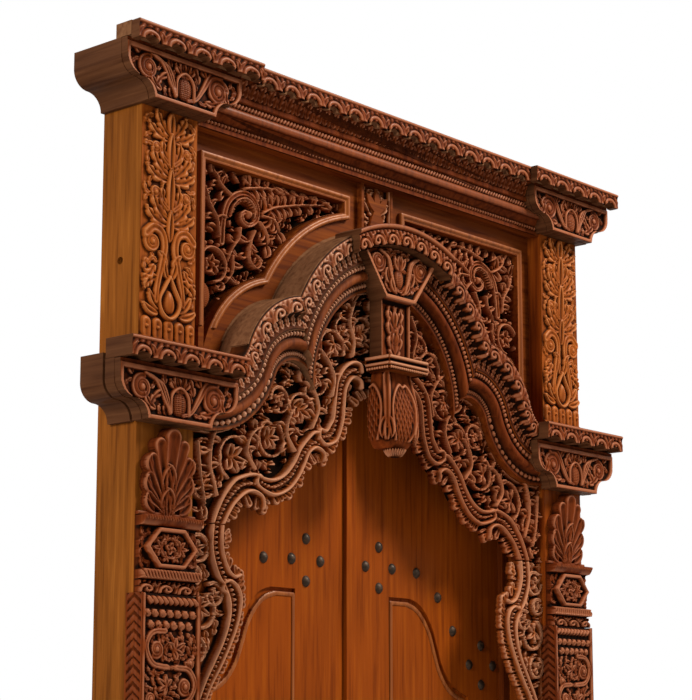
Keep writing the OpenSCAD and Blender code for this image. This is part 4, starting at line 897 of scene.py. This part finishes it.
def spandrel():
    board = Board(0, bay, seam, 2326, 1.7)
    x, z = board.x, board.z
    room = under_arch(x, z) & (z > np.interp(x, spandrel_edge[:, 0], spandrel_edge[:, 1]))
    fringe(board, spandrel_edge, 0.8 * fret_tall)
    for band in spandrel_bands:
        middle = [sum(smooth_path(fillet)[int(t * 8 * (len(fillet) - 1))] for fillet in band) / 2
                  for t in np.linspace(0, 1, 7)]
        beaded_band(board, middle, fret_tall)
        for fillet in band:
            board.stroke(fillet, 5.2, fret_tall, steps=10)
    rings = ((417, 1940, 42, 200, 1), (322, 1990, 34, 20, -1), (238, 2050, 36, 150, 1),
             (150, 2190, 34, 60, -1), (60, 2235, 28, 300, 1), (500, 1890, 30, 100, -1),
             (300, 2066, 24, 0, 1), (196, 2120, 30, 90, -1), (118, 2232, 22, 10, 1))
    for cx, cz, radius, start, hand in rings:
        leafy_ring(board, cx, cz, radius, start, hand, math.degrees(start) + hand * 250)
    for points in ([(370, 1926), (392, 1956), (380, 1990), (352, 2008)],
                   [(262, 1972), (284, 2000), (280, 2030), (262, 2056)],
                   [(470, 1868), (488, 1920), (482, 1970), (462, 2000)],
                   [(214, 2022), (196, 2060), (206, 2092), (232, 2110)],
                   [(156, 2092), (150, 2130), (168, 2160), (190, 2180)],
                   [(96, 2180), (92, 2210), (104, 2250), (88, 2290)],
                   [(520, 1960), (512, 1900), (500, 1850)],
                   [(30, 2200), (26, 2240), (34, 2280)]):
        board.sprig(points, 4.5, fret_tall, 32, 5)
    board.fill(room, 30, 0.9 * fret_tall, [each[:2] for each in rings], 11, 0.24)
    border = 5
    rim = np.zeros(x.shape, bool)
    for dx, dz in ((border, 0), (-border, 0), (0, border), (0, -border)):
        rim |= ~under_arch(x + dx, z + dz)
    board.raise_to(0.5 * fret_tall * (room & rim & (z > seam + 4)))
    return board, room & (board.h > 0.3 * fret_tall)


board, keep = spandrel()
# The right spandrel takes the darker brown finish as painted shade.
pair(board, "spandrel_fretwork", flat_front(fret_back), 0, keep, "spandrel", carved, carved_brown,
     ease=2, full=fret_tall)


def side_fret():
    """The fret beside a post; outside its outer fillet a thin ground is left standing."""
    board = Board(380, bay, fret_low, seam, 1.7)
    x, z = board.x, board.z
    room = x > np.interp(-z, -side_edge[:, 1], side_edge[:, 0])
    fringe(board, side_edge, 0.8 * fret_tall, 18, 0.3)
    beaded_band(board, side_beads, fret_tall)
    for fillet in side_fillets:
        board.stroke(fillet, 5, fret_tall, steps=10)
    rings = ((510, 1770, 24, 1), (500, 1660, 32, -1), (470, 1690, 20, 1), (512, 1590, 22, -1),
             (520, 1720, 16, 1))
    for cx, cz, radius, hand in rings:
        leafy_ring(board, cx, cz, radius, 1, hand, 90 + hand * 100 + cz)
    board.fill(room, 28, 0.9 * fret_tall, [each[:2] for each in rings], 14, 0.24)
    board.raise_to(0.5 * fret_tall * (room & (x > bay - 6)))
    outer = np.array(side_fillets[0])
    ground = room & (x > np.interp(-z, -outer[:, 1], outer[:, 0]))
    board.raise_to(2 * ground)
    return board, ground | room & (board.h > 0.3 * fret_tall)


board, keep = side_fret()
pair(board, "side_fretwork", flat_front(fret_back), 0, keep, "side_fret", ease=2, full=fret_tall)

# Transom frets: pierced panels in the transom frames, carved from one teak board each.
# A big volute with a beaded rim and a flower ring stand at the outer end, with lance leaves along the top
# and a fern leaf that runs in to the narrow tip.
transom_in, transom_out, transom_low, transom_top = 95, 487, 2180, 2498
transom_border = 45
transom_fret_back, transom_front, scribe_front = 6, -23, -16.8


def off_arch(x, z):
    """How far points lie outside the hoods of the arch's two upper lobes."""
    return np.minimum(reach_from(top_c, x, z) - top_r, reach_from(side_c, x, z) - side_r)


def off_opening(x, z):
    """How far points lie outside a transom frame's opening; below zero they lie in it."""
    return np.maximum.reduce([transom_in - x, x - transom_out, z - transom_top,
                              transom_border - off_arch(x, z)])


def transom_fret():
    board = Board(transom_in, transom_out, transom_low, transom_top, 1.7)
    off = off_opening(board.x, board.z)
    tall = fret_tall
    eye, flower = (367, 2424), (456, 2304)
    comma = np.array([(430, 2352), (428, 2383), (424, 2406), (414, 2432), (392, 2452), (365, 2460),
                      (342, 2451), (332, 2432), (337, 2412), (354, 2400), (371, 2404), (376, 2416),
                      (366, 2424)])
    board.stroke(comma, 11, tall, cupped_form, ends=(0.8, 0.5))
    back = comma[2:9] - eye
    board.stroke(eye + 0.72 * back, 3, 0.9 * tall)
    beaded_band(board, eye + 0.6 * back, 0.9 * tall, 3)
    board.bead(358, 2420, 10, tall)
    board.stroke(ring(*flower, 33, np.linspace(-0.6, 4.6, 12)), 4.5, tall)
    for at in ring(*flower, 43, np.linspace(-0.5, 4.4, 13)):
        board.bead(*at, 6.5, 0.85 * tall)
    board.flower(*flower, 22, 5, tall)
    for count, points in ((5, [(344, 2390), (358, 2360), (358, 2332), (338, 2317), (326, 2334), (338, 2344)]),
                          (13, [(322, 2430), (293, 2446), (260, 2456), (214, 2468), (150, 2481)]),
                          (4, [(322, 2424), (292, 2422), (274, 2404)]),
                          (6, [(440, 2362), (446, 2394), (465, 2420), (478, 2452)]),
                          (4, [(384, 2388), (388, 2366), (404, 2346), (416, 2322)]),
                          (6, [(372, 2468), (330, 2478), (290, 2484)]),
                          (4, [(410, 2448), (436, 2462), (450, 2482)]),
                          (4, [(330, 2410), (312, 2392), (306, 2372)]),
                          (4, [(404, 2330), (404, 2300), (420, 2276)])):
        board.sprig(points, 4, tall, 32, count, 48)
    for k in range(13):
        board.leaf((478 - 27 * k, transom_top - 2), 262 - 5 * k, 26, 5.5, -30, tall)
    board.seed_cone((474, 2244), 21, 30, tall, 0.25)
    board.fill(off < 0, 30, 0.85 * tall, [eye, flower, (300, 2440)], 21, 0.26)
    board.raise_to(0.5 * tall * ((off < 0) & (off >= -3)))
    return board, (off < 0) & (board.h > 0.3 * tall)


board, keep = transom_fret()
pair(board, "transom_fretwork", flat_front(transom_fret_back), 0, keep, "transom_fret", carved_brown,
     ease=2, full=fret_tall)

# Beads of the transom frames and of the leaves: rounded edges worked along the frame's border,
# round the raised fields, and where the frame is scribed to the arch.
# They are of the same teak; the beads are polished by handling and coloured paler as a painted highlight.
polished_highlit = teak("polished_highlit_teak", grain_up, (0.36, 0.1, 0.02), (0.28, 0.07, 0.013), (0.18, 0.04, 0.007), 0.3)
leaf_top, leaf_wide, leaf_front = 2150, 528, 64


def transom_bead():
    around = 25
    board = Board(transom_in - around, transom_out + around, transom_low, transom_top + 26, 1.7)
    off = off_opening(board.x, board.z)
    board.h = 4 * round_form((off - 10.5) / 5)
    return board, (off > 1) & (off < 15.6) & (off_arch(board.x, board.z) > 2)


board, keep = transom_bead()
pair(board, "transom_bead", flat_front(transom_front), 8, keep, finish=polished_highlit, ease=1, slot="plain_teak")


def scribed_edge():
    """The narrow edge along which the frame is scribed to the arch's back."""
    board = Board(0, transom_out, 2160, 2446, 1.7)
    off = off_arch(board.x, board.z)
    return board, (off > -9) & (off < 4)


board, keep = scribed_edge()
pair(board, "scribed_edge", flat_front(scribe_front), 5, keep, finish=dusty_and_lit, slot="plain_teak")


def field_bead():
    """The rounded edge of a leaf's raised field, inside its groove."""
    groove = 12
    top, low = leaf_top - 425, 160
    shoulder = [(leaf_wide * a - groove, top - groove - b * (top - low)) for a, b in (
        (0.4, 0), (0.455, 0.006), (0.505, 0.02), (0.545, 0.04), (0.572, 0.063), (0.605, 0.088), (0.66, 0.11),
        (0.73, 0.122), (0.77, 0.126))]
    inner = 0.27 * leaf_wide + 6
    outer = shoulder[-1][0]
    upper_inner, lower_inner = (inner, top - groove), (inner, low + groove)
    lower_outer = (outer, low + groove)
    board = Board(inner - 8, outer + 8, low + 4, top - 4, 2.0)
    for points in ([lower_inner, upper_inner], [upper_inner, shoulder[0]], shoulder,
                   [shoulder[-1], lower_outer], [lower_inner, lower_outer]):
        board.stroke(points, 6, 4)
    return board, board.h > 0.2


board, keep = field_bead()
for side in ("left_", "right_"):
    board.piece(side + "field_bead", flat_front(leaf_front + 1.5), 6, keep, side == "left_", ease=1,
                finish=polished_highlit, body=side + "leaf", slot="leaf_teak")

# Arch carving: the lobed arch is worked from thick teak boards, in two halves that meet at the keystone.
# From the outside in run a scroll edge, a row of leaves, a row of beads, a torus and a second row of beads,
# all cut in the run moulding.
arch_back, arch_deep = -43, 46
torus_at, torus_r, torus_y = 87.2, 9, -60.5
hood_share = 0.26
arch_shares = np.array([(0.02, 0.9), (hood_share, 0.84), (0.32, 0.55), (0.46, 0.55), (0.49, 0.66),
                        (0.54, 0.66), (0.55, 0.48), (0.63, 0.48), (0.66, 0.38), (0.8, 0.38), (0.82, 0.3),
                        (0.85, 0.14), (0.93, 0.14), (0.94, 0.2), (1, 0.2)])
neck_half, head_flare, head_low, head_tall, head_r, cap_half = 46, 79, 2301, 107, 300, 150
carved_arch = carved_finish("carved_arch_teak", (0.27, 0.062, 0.011), (0.2, 0.04, 0.007), (0.11, 0.02, 0.004),
                            (0.56, 0.25, 0.13), (0.004, 0.001, 0.0003), 0.2)


def arch_front(d):
    """The arch's front plane at a distance in from the hood's edge."""
    flat = np.interp(d / arch_w, arch_shares[:, 0], arch_back - arch_deep * arch_shares[:, 1])
    torus = torus_y - np.sqrt(np.clip(torus_r ** 2 - (d - torus_at) ** 2, 0, None))
    hood = np.where(d < hood_share * arch_w, arch_back - arch_deep, flat)
    return np.where(np.abs(d - torus_at) < torus_r, np.minimum(flat, torus), hood) - 0.6


def arch_stretch(name, centre, radius, start, end, outward, keep_rule):
    """One lobe's carving, laid out by arc length and by distance in from the hood's edge."""
    mid = radius - 50 if outward else radius + 50
    board = Board(0, math.radians(abs(start - end)) * mid, 2, arch_w, 1.7)
    running_scroll(board, 4, 33, 42, 5)
    for s in np.arange(4, board.xs[-1], 17):
        board.leaf((s, 57), 270, 22, 7.5, 0.1, 5, 2)
    for d in (70.5, 106.5):
        for s in np.arange(3, board.xs[-1], 10.5):
            board.bead(s, d, 4.9, 6)

    def place(s, d, h):
        angle = np.radians(start + np.sign(end - start) * np.degrees(s / mid))
        r = radius - d if outward else radius + d
        y = np.where(h < 0, arch_back - 2, arch_front(d) - h)
        return centre[0] + r * np.cos(angle), y, centre[1] + r * np.sin(angle)

    x, _, z = place(board.x, board.z, board.h)
    # The right half takes the darker finish as painted shade, beside the brighter left half.
    pair(board, name, place, 10, keep_rule(x, z), None, carved_arch, carved_dark, ease=1, full=6.5)


def keystone_half(z):
    """Half the keystone's width at a height: a straight neck under a flaring head."""
    return neck_half + head_flare * np.clip((z - head_low) / head_tall, 0, 1)


def in_keystone(x, z):
    """True where the keystone and its cap, with a small clearance, take the arch's place."""
    from_top = reach_from(top_c, x, z)
    neck = (np.abs(x) < neck_half + 1) & (z < head_low + 2)
    head = (np.abs(x) < keystone_half(z) + 1) & (from_top < head_r + 1)
    cap = (np.abs(x) < cap_half + 1) & (from_top > head_r - 1)
    return neck | head | cap


def in_capital(x, z):
    """True where the capital and its slab take the arch's place."""
    half = corbel_half(np.clip(z - capital_low, 0, capital_tall), capital_foot)
    return (np.abs(x - post_x) < half) & (z > capital_low) & (z < spring + 1)


arch_stretch("arch_top_carving", top_c, top_r, 90, -6, True,
             lambda x, z: (beside_mitre(x, z) > 0) & ~in_keystone(x, z) & (z > waist[1]))
arch_stretch("arch_side_carving", side_c, side_r, 178, 20, True, lambda x, z: beside_mitre(x, z) <= 0)
arch_stretch("arch_foot_carving", foot_c, foot_r, 200, 300, False, lambda x, z: ~in_capital(x, z) & (x < bay))

# Keystone, its cap and its neck: a carved block that locks the two halves of the arch, with a fan of leaves,
# two volutes and an arched cap with a scroll edge. It is cut from one piece of teak; the cap is planted on.
ledge_top = 2182
cap_r = 343
keystone_front, cap_front = -82, -104


def keystone():
    low, high = ledge_top, head_low + head_tall
    board, neck = (Board(-126, 126, low, high, 1.6) for _ in range(2))
    x, z = board.x, board.z
    half = keystone_half(z)
    keep = (np.abs(x) <= half) & (reach_from(top_c, x, z) < head_r)
    relief = 9
    for hand in (-1, 1):
        for base, angle, length in ((2186, 30, 56), (2214, 34, 58), (2244, 38, 52), (2196, 12, 50)):
            neck.leaf((0, base), 90 - hand * angle, length, 12, hand * 40, relief, 2)
        neck.stroke([(hand * 43, low + 2), (hand * 43, head_low - 1)], 3, 0.9 * relief)
    neck.leaf((0, 2190), 90, 104, 12, 0.1, relief, 3)
    for hand in (-1, 1):
        board.volute(hand * 66, 2372, 26, 90 + hand * 60, 1.7, hand, 7, relief)
        for k in (0, 8):
            stem = [(hand * (58 - k), 2396 - 0.3 * k), (hand * (38 - 0.7 * k), 2380),
                    (hand * (29 - 0.5 * k), 2350), (hand * 14, 2318)]
            board.stroke(stem, 3.6, relief, ends=(1, 0.6))
        board.leaf((hand * 6, 2316), 90 - hand * 56, 38, 9, hand * 50, relief)
        board.leaf((hand * 30, 2334), 90 - hand * 40, 34, 9, hand * 60, relief)
    board.seed_cone((0, 2346), 14, 22, relief)
    for angle in (50, 75, 105, 130):
        board.leaf((0, 2362), angle, 34, 7, 30 if angle < 90 else -30, relief)
    inset = np.minimum(0.8 * (half - np.abs(x)), np.where(z > head_low, z - head_low, 99))
    room = keep & (inset > 10) & (z > head_low)
    board.fill(room, 18, 0.8 * relief, [(-66, 2372), (66, 2372), (0, 2346)], 31)
    head = np.maximum(np.where(inset > 9, board.h, 0), relief * flat_form(np.abs(inset - 4) / 6))
    board.h = np.where(z > head_low, head, neck.h - 13)
    return board, keep


board, keep = keystone()
# Its cut sides take the darker end finish, as painted shade under the cap.
face = board.piece("keystone_carving", flat_front(keystone_front), 37, keep, full=9, finish=carved_brown,
                   ends_finish=stained)
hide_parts("keystone")


def keystone_cap_carving():
    middle_r = 320
    reach = math.degrees(math.asin(cap_half / head_r))
    board = Board(0, math.radians(2 * reach) * middle_r, 0, cap_r - head_r, 1.6)
    running_scroll(board, 12, 41, 46, 9, 4)
    board.roll(4, 7, 10)

    def place(s, d, h):
        angle = np.radians(90 + reach - np.degrees(s / middle_r))
        return (cap_r - d) * np.cos(angle), cap_front - h, top_c[1] + (cap_r - d) * np.sin(angle)

    x, _, _ = place(board.x, board.z, board.h)
    return board, place, np.abs(x) <= cap_half


board, place, keep = keystone_cap_carving()
face = board.piece("keystone_cap_carving", place, 59, keep, full=10, finish=carved_brown, ends_finish=stained)
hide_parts("keystone_cap")

# Pendant and its ledge: a square drop under the keystone, with a scale-carved arched panel on each face
# and a lotus bud at its tip. It is cut from one block of teak and pegged up into the neck.
pendant_low, ledge_low = 2002, 2153
pendant_y, core_r = -46, 2
bud_low, bud_y = 1986, -72
ledge_half, ledge_deep, ledge_front = 59, 30, -109


def pendant():
    """The drop's front and sides in one sheet, by the angle round it and the height."""
    low, high = pendant_low, ledge_low
    board = Board(-90, 90, low, high, 1.5)
    turn, v = board.x, board.z - low
    face = (turn + 45) % 90 - 45
    for row in range(12):
        for k in range(-15, 16):
            at = (k + 0.5 * (row % 2)) * 12.5
            board.leaf((at, high - 12 - 10.5 * row), 270, 16, 7.4, 0.1, 5)
    panel = np.hypot(face / 33, np.where(v > 76, (v - 76) / 52, (v - 76) / 80))
    outline = panel + 0.2 * np.exp(-(face / 7) ** 2) * np.clip((v - 100) / 30, 0, 1)
    board.h = np.where(outline > 1, 3, board.h)
    board.raise_to(7 * round_form((outline - 1.04) / 0.1))
    for corner in (-45, 45):
        board.stroke([(corner, high - 4), (corner, low + 40)], 7, 9, cupped_form, ends=(1.5, 0.7))
        for hand in (-1, 1):
            board.stroke([(corner + 7 * hand, high - 6), (corner + 4 * hand, low + 60)], 2.4, 7)
            board.leaf((corner, low + 62), 270 + hand * 24, 46, 9, -hand * 30, 10)
        board.leaf((corner, low + 56), 270, 50, 8, 0.1, 11)
    board.h = np.where(v < 14, 3, board.h)

    def place(t, z, h):
        up = (z - low) / (high - low)
        size = 36 + 13 * np.sin(np.pi * np.clip(up, 0, 1) ** 0.75) - 6 * np.clip(1 - up / 0.2, 0, 1) ** 2
        angle = np.radians(270 + t)
        c, d = np.cos(angle), np.sin(angle)
        squared = (np.abs(c) ** 5 + np.abs(d) ** 5) ** 0.2
        reach = np.where(h < 0, core_r, (size + np.maximum(h, 0)) / squared)
        return reach * c, pendant_y + reach * d, z

    return board, place


board, place = pendant()
face = board.piece("pendant_carving", place, 1, flat=False, ease=0, full=8, finish=carved_brown)
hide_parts("pendant")


def pendant_bud():
    """The lotus bud at the tip: petals round a small dome."""
    board = Board(-180, 180, bud_low, pendant_low, 1.5)
    for k in range(-12, 12):
        board.leaf((15 * k, pendant_low - 1), 270, 15, 7, 0.1, 5)

    def place(t, z, h):
        angle = np.radians(270 + t)
        reach = 21 * np.sqrt(np.clip((z - bud_low + 2) / 18, 0.02, 1)) + np.maximum(h, 0)
        return reach * np.cos(angle), bud_y + reach * np.sin(angle), z

    return board, place


board, place = pendant_bud()
board.piece("pendant_bud_carving", place, None, ease=0, full=5)


def ledge_row(half, name, place):
    """One side of the ledge: a row of beads under two rolls."""
    board = Board(-half, half, ledge_low, ledge_top, 1.5)
    for s in np.arange(-half + 3, half, 6.5):
        board.bead(s, ledge_low + 4, 3.4, 4)
    board.roll(ledge_low + 12, 3.4, 4)
    board.roll(ledge_top - 4, 4, 4)
    board.piece(name, place, 6, None, flat=False, full=6)


def beside_ledge(hand):
    """Places a row on one side of the ledge, with its carving outwards."""
    return lambda x, z, h: (hand * (ledge_half + h), ledge_front + 31 + x, z)


ledge_row(ledge_half, "ledge_front_carving", flat_front(ledge_front))
for hand, name in ((-1, "left"), (1, "right")):
    ledge_row(ledge_deep, "ledge_" + name + "_carving", beside_ledge(hand))

# Transom mullion: a short carved teak post between the two transom frames, above the keystone's cap.
# It has plain side strips, two volutes, a fan of leaves and a flower, and is glued between the frames.
cornice_low = 2548
mullion_front = -16.5


def mullion():
    low, high = 2440, cornice_low
    board = Board(-49, 49, low, high, 1.5)
    relief = 12
    for angle in (30, 60, 90, 120, 150):
        board.leaf((0, 2486), angle, 52, 10, 30 if angle < 90 else -30, relief, 2)
    board.flower(0, 2470, 16, 7, relief)
    for hand in (-1, 1):
        board.stroke([(hand * 44, low), (hand * 44, high)], 4.5, relief)
        board.volute(hand * 22, 2520, 16, 90 + hand * 120, 1.5, hand, 5, relief)
    board.fill(np.abs(board.x) < 40, 18, 0.8 * relief, [(0, 2486)], 41)
    return board, reach_from(top_c, board.x, board.z) > cap_r + 1


board, keep = mullion()
board.piece("mullion_carving", flat_front(mullion_front), 6, keep)

# Cornice carving: rows cut by hand along the run teak moulding between the end blocks.
# From the top run acanthus leaves in the cove, a rope of slanted beads, a torus and a row of small beads.
cornice_back, cornice_deep, cornice_tall = -16, 68, 102
cornice_shares = np.array([(0.46, 0), (0.46, 0.07), (0.42, 0.09), (0.42, 0.18), (0.5, 0.22), (0.62, 0.3),
                           (0.72, 0.3), (0.72, 0.44), (0.66, 0.46), (0.66, 0.6), (0.78, 0.6), (0.78, 0.68),
                           (0.74, 0.7), (0.76, 0.84), (0.88, 0.96), (1, 1)])
cornice_line = np.c_[cornice_back - cornice_deep * cornice_shares[:, 0],
                     cornice_low + cornice_tall * cornice_shares[:, 1]]
cornice_at = gone_along(cornice_line)


def on_cornice(x, t, h):
    """Places points by their distance along the moulding's section, square to its face."""
    step = 2.5
    y, z = walk(cornice_line, t)
    (y0, z0), (y1, z1) = walk(cornice_line, t - step), walk(cornice_line, t + step)
    dy, dz = y1 - y0, z1 - z0
    size = np.hypot(dy, dz) + 1e-6
    out = h + 0.5
    return x, y - dz / size * out, z + dy / size * out


def cornice_carving():
    half = 528
    board = Board(-half, half, 0, cornice_at[-1], 2.0)
    small, torus, rope, cove = (cornice_at[k] for k in (2, 6, 8, 12))
    for s in np.arange(4 - half, half, 9):
        board.bead(s, small + 4.6, 4.2, 5)
        board.stroke([(s - 2.5, rope + 4), (s + 2.5, rope + 10)], 3.4, 4.5, steps=2)
    board.roll(torus + 7, 8, 5)
    for s in np.arange(8 - half, half, 26):
        board.leaf((s, cove + 1), 90, 38, 12, 0.1, 5, 3)
        board.leaf((s + 13, cove + 1), 90, 26, 6, 0.1, 4)
    _, z = walk(cornice_line, board.z)
    block_half = corbel_half(np.clip(z - block_low, 0, block_tall), block_foot)
    return board, np.abs(board.x) < post_x - block_half - 0.5


board, keep = cornice_carving()
board.piece("cornice_carving", on_cornice, 5, keep, flat=False, ease=0, full=8, finish=carved_dark)

# Crown edges, crown caps and capital slabs: teak boards with a rounded top edge above a running scroll
# whose lower side is scalloped. They are glued down on the cornice and on the capitals.
crown_low, crown_top = 2641, 2676
crown_half, end_half = 750, 159
crown_front, end_front, slab_front = -100.4, -116, -113


def scroll_edge(half, low, high, count, tall):
    """A straight scroll edge, half as long to each side, with its lower side scalloped."""
    board = Board(-half, half, low, high, 1.5)
    pitch = 2 * half / count
    running_scroll(board, high - 8, low, pitch, tall)
    board.roll(high - 4, 4.5, tall)
    board.h = np.minimum(board.h, tall)
    unit = (board.x + half) / pitch
    hollow = np.hypot((unit - np.floor(unit) - 0.5) * pitch / 15, (board.z - low) / 8)
    return board, hollow > 1


def on_crown_end(x, z, h):
    """Places a cap's edge at the crown's right-hand end, within the crown's reach."""
    return x + crown_half - end_half, end_front - 0.99 * h, z


def on_capital(x, z, h):
    """Places a slab's edge over the right-hand capital."""
    return x + post_x, slab_front - h, z


board, keep = scroll_edge(crown_half - 2 * end_half, crown_low, crown_top, 14, 6)
board.piece("crown_edge_carving", flat_front(crown_front), 6, keep, full=6, finish=carved_dark)
board, keep = scroll_edge(end_half, crown_low, crown_top, 5, 7)
pair(board, "crown_cap_carving", on_crown_end, 16, keep, "crown_cap", carved_dark, ends_finish=stained,
     full=7)
board, keep = scroll_edge(corbel_wide / 2, capital_low + capital_tall, spring, 5, 7)
pair(board, "capital_slab_carving", on_capital, 63, keep, "capital_slab", carved_dark, ends_finish=stained,
     full=7)

# Stage: a pale floor, a white background, a soft key light from the upper right, a side light from the left,
# and the camera at the photograph's place, to the left of the door and looking up a little.
floor_mesh = bpy.data.meshes.new("floor")
work = bmesh.new()
bmesh.ops.create_grid(work, x_segments=1, y_segments=1, size=14)
work.to_mesh(floor_mesh)
work.free()
floor = bpy.data.objects.new("floor", floor_mesh)
bpy.context.collection.objects.link(floor)
pale = bpy.data.materials.new("pale_floor")
pale.use_nodes = True
pale.node_tree.nodes["Principled BSDF"].inputs["Base Color"].default_value = (0.86, 0.86, 0.86, 1)
pale.node_tree.nodes["Principled BSDF"].inputs["Roughness"].default_value = 0.7
floor_mesh.materials.append(pale)

world = bpy.data.worlds.new("studio")
bpy.context.scene.world = world
world.use_nodes = True
sky = world.node_tree
surround = sky.nodes["Background"]
surround.inputs["Color"].default_value = (1, 1, 1, 1)
seen = sky.nodes.new("ShaderNodeLightPath")
shown = add_node(sky, "ShaderNodeMath", operation="MAXIMUM")
shown_too = add_node(sky, "ShaderNodeMath", operation="MAXIMUM")
level = add_node(sky, "ShaderNodeMapRange")
level.inputs["To Min"].default_value = 0.14
level.inputs["To Max"].default_value = 1.0
sky.links.new(seen.outputs["Is Camera Ray"], shown.inputs[0])
sky.links.new(seen.outputs["Is Glossy Ray"], shown.inputs[1])
sky.links.new(shown.outputs[0], shown_too.inputs[0])
sky.links.new(seen.outputs["Is Transmission Ray"], shown_too.inputs[1])
sky.links.new(shown_too.outputs[0], level.inputs["Value"])
sky.links.new(level.outputs["Result"], surround.inputs["Strength"])


def soft_box(name, place, aim, size, power):
    """A square lamp that faces a point."""
    lamp = bpy.data.lights.new(name, "AREA")
    lamp.size = size
    lamp.energy = power
    holder = bpy.data.objects.new(name, lamp)
    holder.location = place
    holder.rotation_euler = (Vector(aim) - Vector(place)).to_track_quat("-Z", "Y").to_euler()
    bpy.context.collection.objects.link(holder)


soft_box("key_light", (1.9, -2.5, 4.9), (0, 0, 1.9), 1.2, 215)
soft_box("side_light", (-4.4, -0.9, 3.0), (-0.6, 0, 1.8), 1.2, 108)

photo_high, focal_pixels = 700, 1991
camera = bpy.data.cameras.new("camera")
camera.sensor_width = 36
camera.lens = focal_pixels * camera.sensor_width / photo_high
camera.shift_y = 0.08
eye = bpy.data.objects.new("camera", camera)
eye.location = (-3.005, -2.569, 1.412)
yaw, pitch = math.radians(48.86), math.radians(9.84)
look = Vector((math.sin(yaw) * math.cos(pitch), math.cos(yaw) * math.cos(pitch), math.sin(pitch)))
eye.rotation_euler = look.to_track_quat("-Z", "Y").to_euler()
bpy.context.collection.objects.link(eye)
bpy.context.scene.camera = eye

bpy.context.scene.view_settings.view_transform = "Standard"
